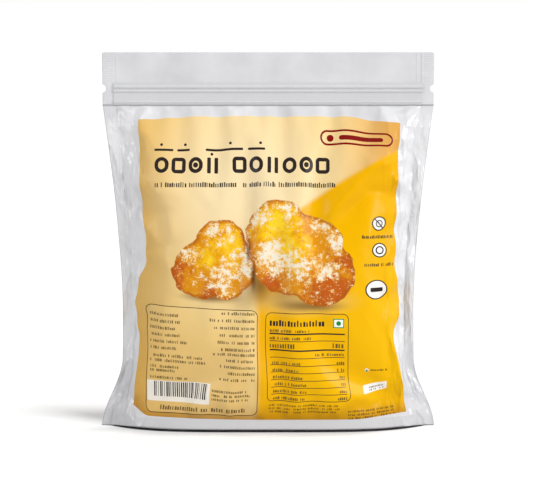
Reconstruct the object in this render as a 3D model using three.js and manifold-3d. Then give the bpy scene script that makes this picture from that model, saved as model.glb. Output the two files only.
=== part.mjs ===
// A sealed stand-up zip pouch filled with round jaggery, standing on its opened base.
// Millimetres: X across the front, Y from front (-Y) to back (+Y), Z up. The origin is on the
// surface that the pouch stands on, under the middle of its base.
//
// The film is opaque and welded shut, so the filled pouch is one solid: a thin web in the plane
// Y = 0, which is the header with its two side seals, joined to the body that the contents
// swell out. The two halves of the press-to-close zip are strips of their own.

import * as THREE from "three";
import { mergeVertices } from "three/addons/utils/BufferGeometryUtils.js";
import Module from "manifold-3d";

const wasm = await Module();
wasm.setup();

// ---------------------------------------------------------------- driving dimensions

const HEIGHT = 230; // standing, from the rim of the base to the top edge
const HEADER_WIDTH = 205; // the flat pouch, at the header
const WAIST_WIDTH = 179; // the filling draws the side seals in to this
const WAIST_Z = 77;
const FOOT_WIDTH = 206; // across the two corners of the base
const FOOT_FLARE_Z = 42; // below this the side seals run out to the corners
const SEAL_WIDTH = 8; // welded strip down each side
const SEAL_AT_WAIST = 6; // its width as seen from in front, where the swelling turns it edge-on
const CORNER_RADIUS = 3;

const FILL_TOP_Z = 199; // the room for the contents ends just under the zip
const RIM_HEIGHT = 8; // welded band round the base that the pouch stands on
const RIM_DEPTH = 44; // base, front to back
const RIM_SPAN_HALF = 98; // the base closes to a point here, inside the corners
const RIM_POWER = 4.5; // the larger, the squarer the base's outline
const RIM_BLEND = 12; // above the rim the film turns to the body's own section over this height
const BELLY_DEPTH = 60; // fullest place, front to back, at the waist
const WEB_THICKNESS = 0.8; // the two welded films

const NOTCH_Z = 208; // tear notches, one in each side seal
const NOTCH_RADIUS = 2.4;

const ZIP_BOTTOM_Z = 198.6; // lower edge of the zip's welded flange
const ZIP_TOP_Z = 211.6;
const ZIP_FLANGE = 0.5; // thickness of the flange
const ZIP_RIBS = [
  { z: 209, radius: 0.85 }, // upper closing rib
  { z: 206.5, radius: 0.75 }, // lower closing rib
  { z: 200.3, radius: 0.6 }, // bead along the weld
];
const ZIP_HALF_LENGTH = 94;
const GAP = 0.3; // between touching pieces

// How finely the body is divided.
const ROUND_STEPS = 80;
const RISE_STEPS = 38;
const OUTLINE_STEPS = 26;

// ---------------------------------------------------------------- the form of the filled film

const clamp01 = (t) => Math.min(1, Math.max(0, t));
const smooth = (t) => clamp01(t) ** 2 * (3 - 2 * clamp01(t));
const mix = (a, b, t) => a + (b - a) * t;

/** Half the width of the whole film at height z, out to the edges of the side seals. */
function filmHalf(z) {
  const waist = WAIST_WIDTH / 2;
  if (z >= WAIST_Z) {
    const rise = clamp01((z - WAIST_Z) / (FILL_TOP_Z - WAIST_Z));
    return mix(waist, HEADER_WIDTH / 2, rise ** 1.5);
  }
  const easing = 2 * ((WAIST_Z - z) / WAIST_Z) ** 2;
  const flare = FOOT_WIDTH / 2 - waist - 2;
  return waist + easing + flare * smooth((FOOT_FLARE_Z - z) / FOOT_FLARE_Z);
}

/** Half the width of the room inside the side seals at height z. */
function roomHalf(z) {
  const drawnIn = (HEADER_WIDTH / 2 - filmHalf(z)) / (HEADER_WIDTH / 2 - WAIST_WIDTH / 2);
  const room = filmHalf(z) - mix(SEAL_WIDTH, SEAL_AT_WAIST, clamp01(drawnIn));
  return mix(room, RIM_SPAN_HALF, smooth(1 - z / (RIM_HEIGHT + 2 * RIM_BLEND)));
}

/** Share of the way from the waist up to the zip. */
const riseOf = (z) => clamp01((z - WAIST_Z) / (FILL_TOP_Z - WAIST_Z));

/** Half the depth of the body on its middle line at height z. */
function halfDepth(z) {
  if (z < WAIST_Z) return mix(RIM_DEPTH, BELLY_DEPTH, Math.sin((z / WAIST_Z) * (Math.PI / 2))) / 2;
  return Math.max(0.3, (BELLY_DEPTH / 2) * (1 - riseOf(z) ** 2) ** 0.78);
}

/** Depth across the width as a share of halfDepth: full in the belly, flat-topped at the zip. */
function section(u, z) {
  const power = 1.9 + 1.1 * smooth((z - 15) / 60) + 3 * riseOf(z) ** 2;
  const ease = mix(0.6, 1, Math.min(1, ((z - 50) / (z < 50 ? 38 : 125)) ** 2));
  return (1 - Math.min(1, Math.abs(u)) ** power) ** ease;
}

/** Half the depth of the base's welded rim at x. */
const rimHalfDepth = (x) => (RIM_DEPTH / 2) * (1 - Math.min(1, Math.abs(x) / RIM_SPAN_HALF) ** RIM_POWER);

// ---------------------------------------------------------------- folds and bulges

/** A crease from one point of a face to another: rise is outwards, or inwards if negative. */
const fold = (from, to, rise, width) => ({ from, to, rise, width });

// Points are [x, z] on the face, as seen from in front of it.
const FRONT_FOLDS = [
  fold([39, 127], [62, 157], 1.7, 6), // crest that runs up towards the right-hand seal
  fold([62, 157], [86, 163], 1.4, 5),
  fold([46, 122], [64, 142], -1.3, 6), // valley beside it
  fold([64, 142], [86, 139], -1.2, 5),
  fold([89, 143], [76, 151], 1.3, 5),
  fold([-88, 132], [-66, 113], 1.2, 5), // fan from a pinch in the left-hand seal
  fold([-88, 132], [-58, 129], -1.6, 6),
  fold([-57, 130], [-55, 114], 1.2, 6),
  fold([-78, 108], [-52, 112], -1.2, 5),
  fold([-72, 145], [-54, 141], 1.0, 7),
  fold([-86, 160], [-80, 145], 1.3, 4),
  fold([-82, 186], [-76, 160], -1.3, 6), // hollow inside the left-hand seal
  fold([-66, 178], [-50, 170], 0.9, 7),
  fold([-84, 70], [-79, 22], 1.0, 4),
  fold([81, 76], [77, 60], 1.6, 4), // upright pleat low on the right
  fold([77, 60], [82, 24], 1.5, 4),
  fold([56, 12], [84, 17], -1.4, 5), // gathers above the right-hand corner
  fold([52, 17], [80, 30], 0.9, 5),
  fold([88, 30], [92, 18], 1.8, 5),
  fold([-88, 24], [-76, 12], 1.0, 5),
];
const BACK_FOLDS = [
  fold([-46, 118], [-66, 152], 1.6, 7),
  fold([-66, 152], [-86, 160], 1.3, 5),
  fold([-52, 112], [-70, 138], -1.2, 6),
  fold([88, 140], [60, 124], -1.5, 6),
  fold([88, 140], [64, 146], 1.2, 5),
  fold([58, 122], [50, 100], 1.1, 7),
  fold([0, 176], [22, 150], 0.9, 8),
  fold([80, 72], [76, 26], 1.2, 4),
  fold([-78, 66], [-81, 24], 1.2, 4),
  fold([-84, 26], [-60, 13], -1.2, 5),
  fold([84, 28], [66, 14], 1.0, 5),
];

// The lumps press broad rounds into the film: centre [x, z], radius and rise.
const LUMP_BULGES = [
  { at: [-44, 74], radius: 30, rise: 1.6 },
  { at: [14, 96], radius: 34, rise: 1.2 },
  { at: [54, 62], radius: 28, rise: 1.5 },
  { at: [-8, 42], radius: 26, rise: 1.0 },
];

/** Distance from the point (x, z) to a fold's line, in mm. */
function distanceToFold({ from, to }, x, z) {
  const [ax, az] = from;
  const [dx, dz] = [to[0] - ax, to[1] - az];
  const along = clamp01(((x - ax) * dx + (z - az) * dz) / (dx * dx + dz * dz));
  return Math.hypot(x - ax - along * dx, z - az - along * dz);
}

/** How far the film of one face stands out at (x, z), beyond its smooth form. */
function relief(folds, mirror, x, z) {
  let rise = 0;
  for (const one of folds) rise += one.rise * Math.exp(-((distanceToFold(one, x, z) / one.width) ** 1.4));
  for (const { at, radius, rise: height } of LUMP_BULGES) {
    const away = Math.hypot(x - mirror * at[0], z - at[1]) / radius;
    rise += height * Math.exp(-away * away);
  }
  return rise;
}

/** Relief fades to nothing at the side seals, the base rim and the zip. */
function reliefShare(u, z) {
  const inRoom = smooth((1 - Math.abs(u)) / 0.12);
  return inRoom * smooth((z - RIM_HEIGHT) / 8) * smooth((FILL_TOP_Z - 8 - z) / 20);
}

// ---------------------------------------------------------------- solids

function solidOf(geometry) {
  const bare = geometry.clone();
  bare.deleteAttribute("normal");
  bare.deleteAttribute("uv");
  const merged = mergeVertices(bare, 1e-3);
  return new wasm.Manifold(
    new wasm.Mesh({
      numProp: 3,
      vertProperties: merged.attributes.position.array,
      triVerts: new Uint32Array(merged.index.array),
    }),
  );
}

function geometryOf(solid) {
  const mesh = solid.getMesh();
  const geometry = new THREE.BufferGeometry();
  geometry.setAttribute("position", new THREE.BufferAttribute(mesh.vertProperties, 3));
  geometry.setIndex(new THREE.BufferAttribute(mesh.triVerts, 1));
  geometry.computeVertexNormals();
  return geometry;
}

/**
 * The swollen body with its base: a turned profile of unit radius, whose rings are then drawn
 * out to the room's width and depth at their own height.
 */
function bodyGeometry() {
  // The filling presses the middle of the base flat on the surface, inside the welded rim.
  const base = [
    [0, 0],
    [0.3, 0],
    [0.6, 0],
    [0.78, 1.2],
    [0.89, 3.2],
    [0.955, 5.2],
    [0.972, 0],
    [1, 0],
    [1, RIM_HEIGHT / 2],
  ];
  const profile = base.map(([radius, z]) => new THREE.Vector2(radius, z));
  for (let i = 0; i <= RISE_STEPS; i++) {
    profile.push(new THREE.Vector2(1, mix(RIM_HEIGHT, FILL_TOP_Z, i / RISE_STEPS)));
  }
  profile.push(new THREE.Vector2(0, FILL_TOP_Z));

  const geometry = new THREE.LatheGeometry(profile, ROUND_STEPS);
  geometry.rotateX(Math.PI / 2);
  const position = geometry.attributes.position;
  for (let i = 0; i < position.count; i++) {
    const [ringX, ringY, z] = [position.getX(i), position.getY(i), position.getZ(i)];
    const radius = Math.hypot(ringX, ringY);
    if (radius < 1e-6) continue;
    const u = ringX / radius;
    const front = ringY < 0;
    const x = radius * roomHalf(z) * u;
    const rim = rimHalfDepth(roomHalf(z) * u);
    let depth = radius * mix(rim, halfDepth(z) * section(u, z), smooth((z - RIM_HEIGHT) / RIM_BLEND));
    if (radius > 0.99) {
      const faceX = front ? x : -x;
      depth += relief(front ? FRONT_FOLDS : BACK_FOLDS, front ? 1 : -1, faceX, z) * reliefShare(u, z);
    }
    const tip = Math.abs(ringY) / radius < 1e-4;
    position.setXYZ(i, x, tip ? 0 : (front ? -1 : 1) * depth, z);
  }
  return geometry;
}

/** The flat film: header, side seals and base corners, open under the middle of the base. */
function webGeometry() {
  const outline = new THREE.Shape();
  const underHalf = RIM_SPAN_HALF - 3.2;
  const underZ = RIM_HEIGHT - 1;
  const foot = FOOT_WIDTH / 2;
  outline.moveTo(underHalf, 0);
  outline.lineTo(foot - CORNER_RADIUS, 0);
  outline.absarc(foot - CORNER_RADIUS, CORNER_RADIUS, CORNER_RADIUS, -Math.PI / 2, 0, false);
  for (let i = 1; i <= OUTLINE_STEPS; i++) {
    const z = mix(CORNER_RADIUS + 1, FILL_TOP_Z, i / OUTLINE_STEPS);
    outline.lineTo(filmHalf(z), z);
  }
  const edge = HEADER_WIDTH / 2;
  outline.absarc(edge, NOTCH_Z, NOTCH_RADIUS, -Math.PI / 2, Math.PI / 2, true);
  outline.lineTo(edge, HEIGHT);
  outline.lineTo(-edge, HEIGHT);
  outline.absarc(-edge, NOTCH_Z, NOTCH_RADIUS, Math.PI / 2, -Math.PI / 2, true);
  for (let i = OUTLINE_STEPS; i >= 1; i--) {
    const z = mix(CORNER_RADIUS + 1, FILL_TOP_Z, i / OUTLINE_STEPS);
    outline.lineTo(-filmHalf(z), z);
  }
  outline.absarc(CORNER_RADIUS - foot, CORNER_RADIUS, CORNER_RADIUS, Math.PI, Math.PI * 1.5, false);
  outline.lineTo(-underHalf, 0);
  outline.lineTo(2 - underHalf, underZ);
  outline.lineTo(underHalf - 2, underZ);
  outline.closePath();
  const geometry = new THREE.ExtrudeGeometry(outline, {
    depth: WEB_THICKNESS,
    bevelEnabled: false,
    curveSegments: 10,
  });
  geometry.rotateX(Math.PI / 2);
  geometry.translate(0, WEB_THICKNESS / 2, 0);
  return geometry;
}

/** One half of the zip, on the front face: a welded flange that carries the closing ribs. */
function zipStripGeometry() {
  const inner = WEB_THICKNESS / 2 + GAP;
  const outer = inner + ZIP_FLANGE;
  const profile = new THREE.Shape();
  profile.moveTo(inner, ZIP_BOTTOM_Z);
  profile.lineTo(outer, ZIP_BOTTOM_Z);
  for (const rib of [...ZIP_RIBS].reverse()) {
    profile.absarc(outer, rib.z, rib.radius, -Math.PI / 2, Math.PI / 2, false);
  }
  profile.lineTo(outer, ZIP_TOP_Z);
  profile.lineTo(inner, ZIP_TOP_Z);
  profile.closePath();
  const geometry = new THREE.ExtrudeGeometry(profile, {
    depth: 2 * ZIP_HALF_LENGTH,
    bevelEnabled: false,
    curveSegments: 8,
  });
  geometry.translate(0, 0, -ZIP_HALF_LENGTH);
  // The profile's outward side turns to -Y and its height to +Z.
  const turn = new THREE.Matrix4().makeBasis(
    new THREE.Vector3(0, -1, 0),
    new THREE.Vector3(0, 0, 1),
    new THREE.Vector3(-1, 0, 0),
  );
  geometry.applyMatrix4(turn);
  return geometry;
}

// ---------------------------------------------------------------- the object

const film = new THREE.MeshStandardMaterial({ color: "#e3e3e6", roughness: 0.32, metalness: 0.15 });
const zipPlastic = new THREE.MeshStandardMaterial({ color: "#dcdcdf", roughness: 0.4, metalness: 0 });

const object = new THREE.Group();

const pouch = new THREE.Mesh(geometryOf(solidOf(webGeometry()).add(solidOf(bodyGeometry()))), film);
pouch.name = "pouch";
object.add(pouch);

for (const [name, turn] of [
  ["zip_strip_front", 0],
  ["zip_strip_back", Math.PI],
]) {
  const strip = new THREE.Mesh(zipStripGeometry(), zipPlastic);
  strip.name = name;
  strip.rotation.z = turn;
  object.add(strip);
}

export default object;
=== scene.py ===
"""A sealed stand-up zip pouch of round jaggery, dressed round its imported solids.

The pouch is pearl-white laminate film with a printed panel on each face. Its film is one closed skin:
front, back, opened base, side seals and header. The flat cutting size is the rest shape of a cloth
simulation, so that the filling gathers the film at the side seals as it does on a real pouch. The two
halves of the zip lie on the header as ribbed strips in the same film.
"""

from __future__ import annotations

import logging
import math
from dataclasses import dataclass, field, replace
from enum import Enum, IntEnum

import bmesh
import bpy
import numpy as np
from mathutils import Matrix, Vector, noise

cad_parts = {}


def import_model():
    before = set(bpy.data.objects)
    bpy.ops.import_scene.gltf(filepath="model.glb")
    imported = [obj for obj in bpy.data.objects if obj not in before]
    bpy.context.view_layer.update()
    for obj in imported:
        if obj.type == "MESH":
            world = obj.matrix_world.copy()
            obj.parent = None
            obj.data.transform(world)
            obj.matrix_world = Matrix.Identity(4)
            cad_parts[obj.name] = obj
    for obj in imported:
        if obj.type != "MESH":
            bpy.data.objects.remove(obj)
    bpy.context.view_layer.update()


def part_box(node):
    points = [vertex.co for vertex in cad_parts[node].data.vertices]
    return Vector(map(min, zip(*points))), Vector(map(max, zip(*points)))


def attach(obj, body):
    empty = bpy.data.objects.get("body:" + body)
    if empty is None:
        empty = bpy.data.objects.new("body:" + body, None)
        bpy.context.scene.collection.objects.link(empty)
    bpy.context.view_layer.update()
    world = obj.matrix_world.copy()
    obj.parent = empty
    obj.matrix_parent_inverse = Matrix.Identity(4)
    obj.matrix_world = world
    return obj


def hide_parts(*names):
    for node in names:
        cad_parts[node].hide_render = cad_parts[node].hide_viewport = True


log = logging.getLogger("pouch")

MM = 0.001
NEAR = 0.01  # flat places closer than this, in millimetres, count as one

Socket = bpy.types.NodeSocket
Point = tuple[float, float]
Span = tuple[float, float]

# The kinds of node that the finishes use, and the sockets of a colour mix.
MATH = "ShaderNodeMath"
VECTOR = "ShaderNodeVectorMath"
RANGE = "ShaderNodeMapRange"
NOISE = "ShaderNodeTexNoise"
WHITE_NOISE = "ShaderNodeTexWhiteNoise"
VORONOI = "ShaderNodeTexVoronoi"
SEPARATE = "ShaderNodeSeparateXYZ"
MIX = "ShaderNodeMix"
MIX_UNDER, MIX_OVER, MIX_RESULT = 6, 7, 2


# ------------------------------------------------------------------------------- small helpers


def smooth(t: np.ndarray) -> np.ndarray:
    """An S-curve from 0 to 1."""
    t = np.clip(t, 0.0, 1.0)
    return t * t * (3.0 - 2.0 * t)


def mix(a: np.ndarray, b: np.ndarray, t: np.ndarray) -> np.ndarray:
    """Straight interpolation from a to b."""
    return a + (b - a) * t


@dataclass(frozen=True)
class Ease:
    """A soft step from 0 to 1: where it starts and how far it takes, less than 0 where it runs down."""

    start: float
    over: float

    def at(self, value: np.ndarray) -> np.ndarray:
        """The step's height at each value."""
        return smooth((value - self.start) / self.over)


def linear(hex_code: str) -> tuple[float, float, float, float]:
    """Turns an sRGB hex colour into linear red, green, blue and an opaque alpha."""
    parts = [int(hex_code[i : i + 2], 16) / 255 for i in (1, 3, 5)]
    red, green, blue = (c / 12.92 if c <= 0.04045 else ((c + 0.055) / 1.055) ** 2.4 for c in parts)
    return red, green, blue, 1.0


def add_node(
    tree: bpy.types.NodeTree,
    kind: str,
    *inputs: Socket | float | tuple | None,
    named: dict[str | int, Socket | float | tuple] | None = None,
    out: str | int = 0,
    **settings: object,
) -> Socket:
    """Adds one node with its settings and links.

    Args:
        tree: The node tree.
        kind: Blender's name for the kind of node.
        inputs: What goes into its sockets in order: a socket, a value, or None to leave one alone.
        named: What goes into sockets given by name or number.
        out: Name or number of the output to hand back.
        settings: Properties of the node.

    Returns:
        The chosen output.
    """
    node = tree.nodes.new(kind)
    for name, value in settings.items():
        setattr(node, name, value)
    for key, value in [*enumerate(inputs), *(named or {}).items()]:
        if isinstance(value, Socket):
            tree.links.new(value, node.inputs[key])
        elif value is not None:
            node.inputs[key].default_value = value
    return node.outputs[out]


def new_material(name: str) -> tuple[bpy.types.Material, bpy.types.Node]:
    """Makes a material and hands it back with its shader."""
    material = bpy.data.materials.new(name)
    material.use_nodes = True
    shader = next(n for n in material.node_tree.nodes if n.type == "BSDF_PRINCIPLED")
    return material, shader


def read_vectors(mesh: bpy.types.Mesh, name: str = "position") -> np.ndarray:
    """A mesh's vector attribute, one row a vertex: the vertices' places unless another is named."""
    values = np.empty(len(mesh.vertices) * 3)
    mesh.attributes[name].data.foreach_get("vector", values)
    return values.reshape(-1, 3)


def read_faces(mesh: bpy.types.Mesh) -> tuple[np.ndarray, np.ndarray, np.ndarray]:
    """How a mesh's faces lie in its list of corners.

    Returns:
        The vertex at each corner, each face's first corner, and how many corners each face has.
    """
    corners, first = np.empty(len(mesh.loops), int), np.empty(len(mesh.polygons), int)
    mesh.loops.foreach_get("vertex_index", corners)
    mesh.polygons.foreach_get("loop_start", first)
    return corners, first, np.diff(np.append(first, len(corners)))


def place_object(name: str, data: bpy.types.ID) -> bpy.types.Object:
    """Puts a mesh, a lamp or a camera into the scene."""
    thing = bpy.data.objects.new(name, data)
    bpy.context.scene.collection.objects.link(thing)
    return thing


def place_mesh(name: str, mesh: bmesh.types.BMesh) -> bpy.types.Object:
    """Puts a finished bmesh into the scene and frees it."""
    data = bpy.data.meshes.new(name)
    mesh.to_mesh(data)
    mesh.free()
    return place_object(name, data)


class Face(Enum):
    """A broad side of the pouch, valued by the sign of its outward Y."""

    FRONT = -1
    BACK = 1


class Plate(IntEnum):
    """A share of the print with a material of its own, since one shader can't hold it all."""

    UPPER = 0
    LOWER_LEFT = 1
    LOWER_RIGHT = 2


# ------------------------------------------------------------------------------- the form


@dataclass(frozen=True)
class PouchForm:
    """Sizes of the filled pouch and of its flat film, in millimetres, and the curves they give.

    The waist is the height where the filling draws the side seals in most. Across the width each
    section is a superellipse: rounder near the foot, fuller in the middle and flat under the zip.
    """

    height: float
    foot_half: float
    header_half: float = 101.0
    header_taper: float = 1.5
    waist_half: float = 89.5
    waist_z: float = 77.0
    foot_swell: float = 2.0
    foot_flare: Ease = Ease(42.0, -42.0)
    seal: float = 8.0
    seal_at_waist: float = 6.0
    zip_z: float = 198.2
    rim: float = 8.0
    rim_depth: float = 23.0
    rim_lean: float = -1.5
    rim_span: float = 98.0
    rim_power: float = 4.5
    rim_blend: float = 12.0
    belly_depth: float = 26.6
    belly_power: float = 0.78
    foot_power: float = 1.9
    middle_power: float = 2.1
    middle_from: Ease = Ease(10.0, 40.0)
    zip_power: float = 3.0
    # A section's ends are round at roundest_z and run sharp by sharp_below under it or sharp_above over it.
    end_power: Span = (0.5, 1.0)
    roundest_z: float = 50.0
    sharp_below: float = 38.0
    sharp_above: float = 125.0
    # The flat film: half its width, the room between the rim and the zip, and its ease at the foot.
    flat_half: float = 103.3
    flat_room_rise: float = 195.3
    foot_ease: float = 2.4
    foot_ease_from: Ease = Ease(62.0, -54.0)
    film: float = 0.25
    notch_z: float = 208.0
    notch_radius: float = 2.4
    # The side seals' free edges: the height of their waves, then each wave's length, turn and share.
    fin_wave: float = 0.8
    fin_waves: tuple[tuple[float, float, float], ...] = ((17.0, 1.1, 1.0), (7.3, -0.7, 0.6))
    fin_calm_low: float = 20.0
    fin_calm_high: float = 30.0

    @property
    def flat_seam(self) -> float:
        """Half the flat width between the side seals."""
        return self.flat_half - self.seal

    @property
    def flat_zip(self) -> float:
        """Flat height of the weld under the zip."""
        return self.rim + self.flat_room_rise

    @property
    def flat_top(self) -> float:
        """Flat height of the top edge."""
        return self.flat_zip + self.height - self.zip_z

    def film_half(self, z: np.ndarray) -> np.ndarray:
        """Half the width of the filled pouch at height z, out to the seals' edges."""
        upper = mix(self.waist_half, self.header_half, self.rise(z) ** self.header_taper)
        drop = np.clip((self.waist_z - z) / self.waist_z, 0, 1)
        flare = self.foot_half - self.waist_half - self.foot_swell
        lower = self.waist_half + self.foot_swell * drop**2 + flare * self.foot_flare.at(z)
        return np.where(z >= self.waist_z, upper, lower)

    def notch(self, z: np.ndarray) -> np.ndarray:
        """How far the tear notch cuts into the film's edge at height z."""
        across = 1 - ((z - self.notch_z) / self.notch_radius) ** 2
        return self.notch_radius * np.sqrt(np.maximum(across, 0))

    def seam_half(self, z: np.ndarray) -> np.ndarray:
        """Half the width between the side seals; the seals turn edge-on where the pouch swells."""
        drawn_in = (self.header_half - self.film_half(z)) / (self.header_half - self.waist_half)
        return self.film_half(z) - mix(self.seal, self.seal_at_waist, np.clip(drawn_in, 0, 1))

    def rise(self, z: np.ndarray) -> np.ndarray:
        """Share of the way from the waist up to the zip."""
        return np.clip((z - self.waist_z) / (self.zip_z - self.waist_z), 0, 1)

    def half_depth(self, z: np.ndarray) -> np.ndarray:
        """Half the depth on the middle line at height z."""
        low = np.sin(np.clip(z / self.waist_z, 0, 1) * math.pi / 2)
        upper = self.belly_depth * (1 - self.rise(z) ** 2) ** self.belly_power
        return np.where(z < self.waist_z, mix(self.rim_depth, self.belly_depth, low), upper)

    def section(self, u: np.ndarray, z: np.ndarray) -> np.ndarray:
        """Depth across the width as a share of half_depth, for u from -1 to 1 between the seals."""
        power = self.foot_power + self.middle_power * self.middle_from.at(z)
        power = power + self.zip_power * self.rise(z) ** 2
        reach = np.where(z < self.roundest_z, self.sharp_below, self.sharp_above)
        sharp = np.minimum(((z - self.roundest_z) / reach) ** 2, 1)
        return (1 - np.minimum(np.abs(u), 1) ** power) ** mix(*self.end_power, sharp)

    def rim_half_depth(self, x: np.ndarray, z: np.ndarray) -> np.ndarray:
        """Half the depth of the base's welded rim at x; the rim leans out a little as it rises."""
        share = 1 - np.minimum(np.abs(x) / self.rim_span, 1) ** self.rim_power
        return share * (self.rim_depth + self.rim_lean * np.clip(z / self.rim, 0, 1))

    def cut_half(self, across: np.ndarray, up: np.ndarray) -> np.ndarray:
        """Where the film lies before it is filled; towards the foot it has ease to go round the base."""
        return across * (1 + self.foot_ease / self.flat_half * self.foot_ease_from.at(up))

    def fin_sway(self, z: np.ndarray, side: np.ndarray) -> np.ndarray:
        """How far the free edge of a side seal stands off the middle plane at height z."""
        wave = sum(share * np.sin(z / length + turn * side) for length, turn, share in self.fin_waves)
        calm = smooth((z - self.rim) / self.fin_calm_low)
        return self.fin_wave * wave * calm * smooth((self.zip_z - z) / self.fin_calm_high)


@dataclass(frozen=True)
class Crease:
    """A fold in the film of one face, in flat millimetres across and up as seen from in front.

    Args:
        start: One end of its ridge.
        end: The other end.
        rise: How far it stands out before it is sharpened, or in if it is less than 0.
        width: How far from the ridge it falls to about a third.
        sharpening: What its ridge gains over its rise.
        ridge_power: 1 for a sharp ridge and 2 for a round one.
        end_share: The share of its rise that its ends keep.
    """

    start: Point
    end: Point
    rise: float
    width: float
    sharpening: float = 1.5
    ridge_power: float = 1.05
    end_share: float = 0.55

    def lift(self, across: np.ndarray, up: np.ndarray) -> np.ndarray:
        """How far the fold stands out at each place, or in if its rise is negative."""
        (x, z), (dx, dz) = self.start, (self.end[0] - self.start[0], self.end[1] - self.start[1])
        along = np.clip(((across - x) * dx + (up - z) * dz) / (dx * dx + dz * dz), 0, 1)
        away = np.hypot(across - x - along * dx, up - z - along * dz) / self.width
        ridge = self.sharpening * self.rise * np.exp(-(away**self.ridge_power))
        return ridge * (self.end_share + (1 - self.end_share) * np.sin(math.pi * along))


FRONT_CREASES = (
    Crease((39, 134), (64, 164), 2.6, 5),
    Crease((64, 164), (88, 169), 2.2, 4),
    Crease((45, 131), (64, 148), -2.2, 5),
    Crease((64, 148), (88, 146), -2.0, 5),
    Crease((93, 150), (78, 158), 1.9, 4),
    Crease((-93, 139), (-70, 118), 1.5, 3.5),
    Crease((-93, 139), (-60, 135), -2.0, 5),
    Crease((-60, 137), (-59, 121), 1.6, 5),
    Crease((-82, 112), (-55, 117), -1.5, 5),
    Crease((-75, 150), (-56, 146), 1.3, 6),
    Crease((-92, 168), (-84, 152), 1.9, 3.0),
    Crease((-86, 196), (-81, 166), -1.8, 4),
    Crease((84, 81), (80, 66), 2.2, 3.0),
    Crease((80, 66), (86, 30), 2.2, 3.0),
    Crease((57, 16), (88, 20), -1.2, 4),
    Crease((54, 21), (84, 34), 0.8, 4),
)
BACK_CREASES = (
    Crease((-46, 122), (-68, 158), 1.4, 6),
    Crease((-68, 158), (-90, 166), 1.2, 4),
    Crease((-52, 117), (-72, 144), -1.1, 5),
    Crease((93, 146), (60, 130), -1.2, 5),
    Crease((93, 146), (66, 152), 1.0, 4),
    Crease((58, 128), (50, 104), 0.9, 6),
    Crease((-88, 28), (-60, 16), -1.0, 4),
    Crease((86, 30), (66, 16), 0.9, 4),
)
SEAL_CREASES = (
    Crease((84, 31), (97, 25), 1.6, 2.2),
    Crease((86, 25), (99, 18), 1.4, 2.0),
    Crease((85, 21), (97, 15), -1.2, 2.0),
    Crease((90, 35), (99, 29), 0.9, 1.8),
    Crease((88, 14), (95, 10), 0.8, 1.8),
    Crease((-86, 34), (-94, 29), 0.9, 1.8),
    Crease((-85, 26), (-96, 20), -0.9, 2.2),
    Crease((-84, 17), (-93, 12), 0.9, 2.0),
    Crease((93, 150), (100, 151), 0.8, 1.4),
    Crease((94, 166), (101, 168), 0.5, 1.2),
    Crease((-93, 139), (-98, 141), 0.6, 1.4),
    Crease((92, 108), (100, 110), 0.6, 1.2),
    Crease((-92, 66), (-98, 64), 0.7, 1.4),
)
HEADER_CREASES = (
    Crease((-72, 229), (-52, 221), 0.25, 1.6),
    Crease((-50, 219), (14, 221), -0.12, 2.0),
    Crease((-95, 226), (95, 224), 0.10, 2.4),
    Crease((20, 232), (34, 218), -0.18, 6.0),
    Crease((38, 230), (50, 217), 0.20, 5.0),
    Crease((-20, 234), (8, 230), 0.15, 5.0),
)


# ------------------------------------------------------------------------------- the film


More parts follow.
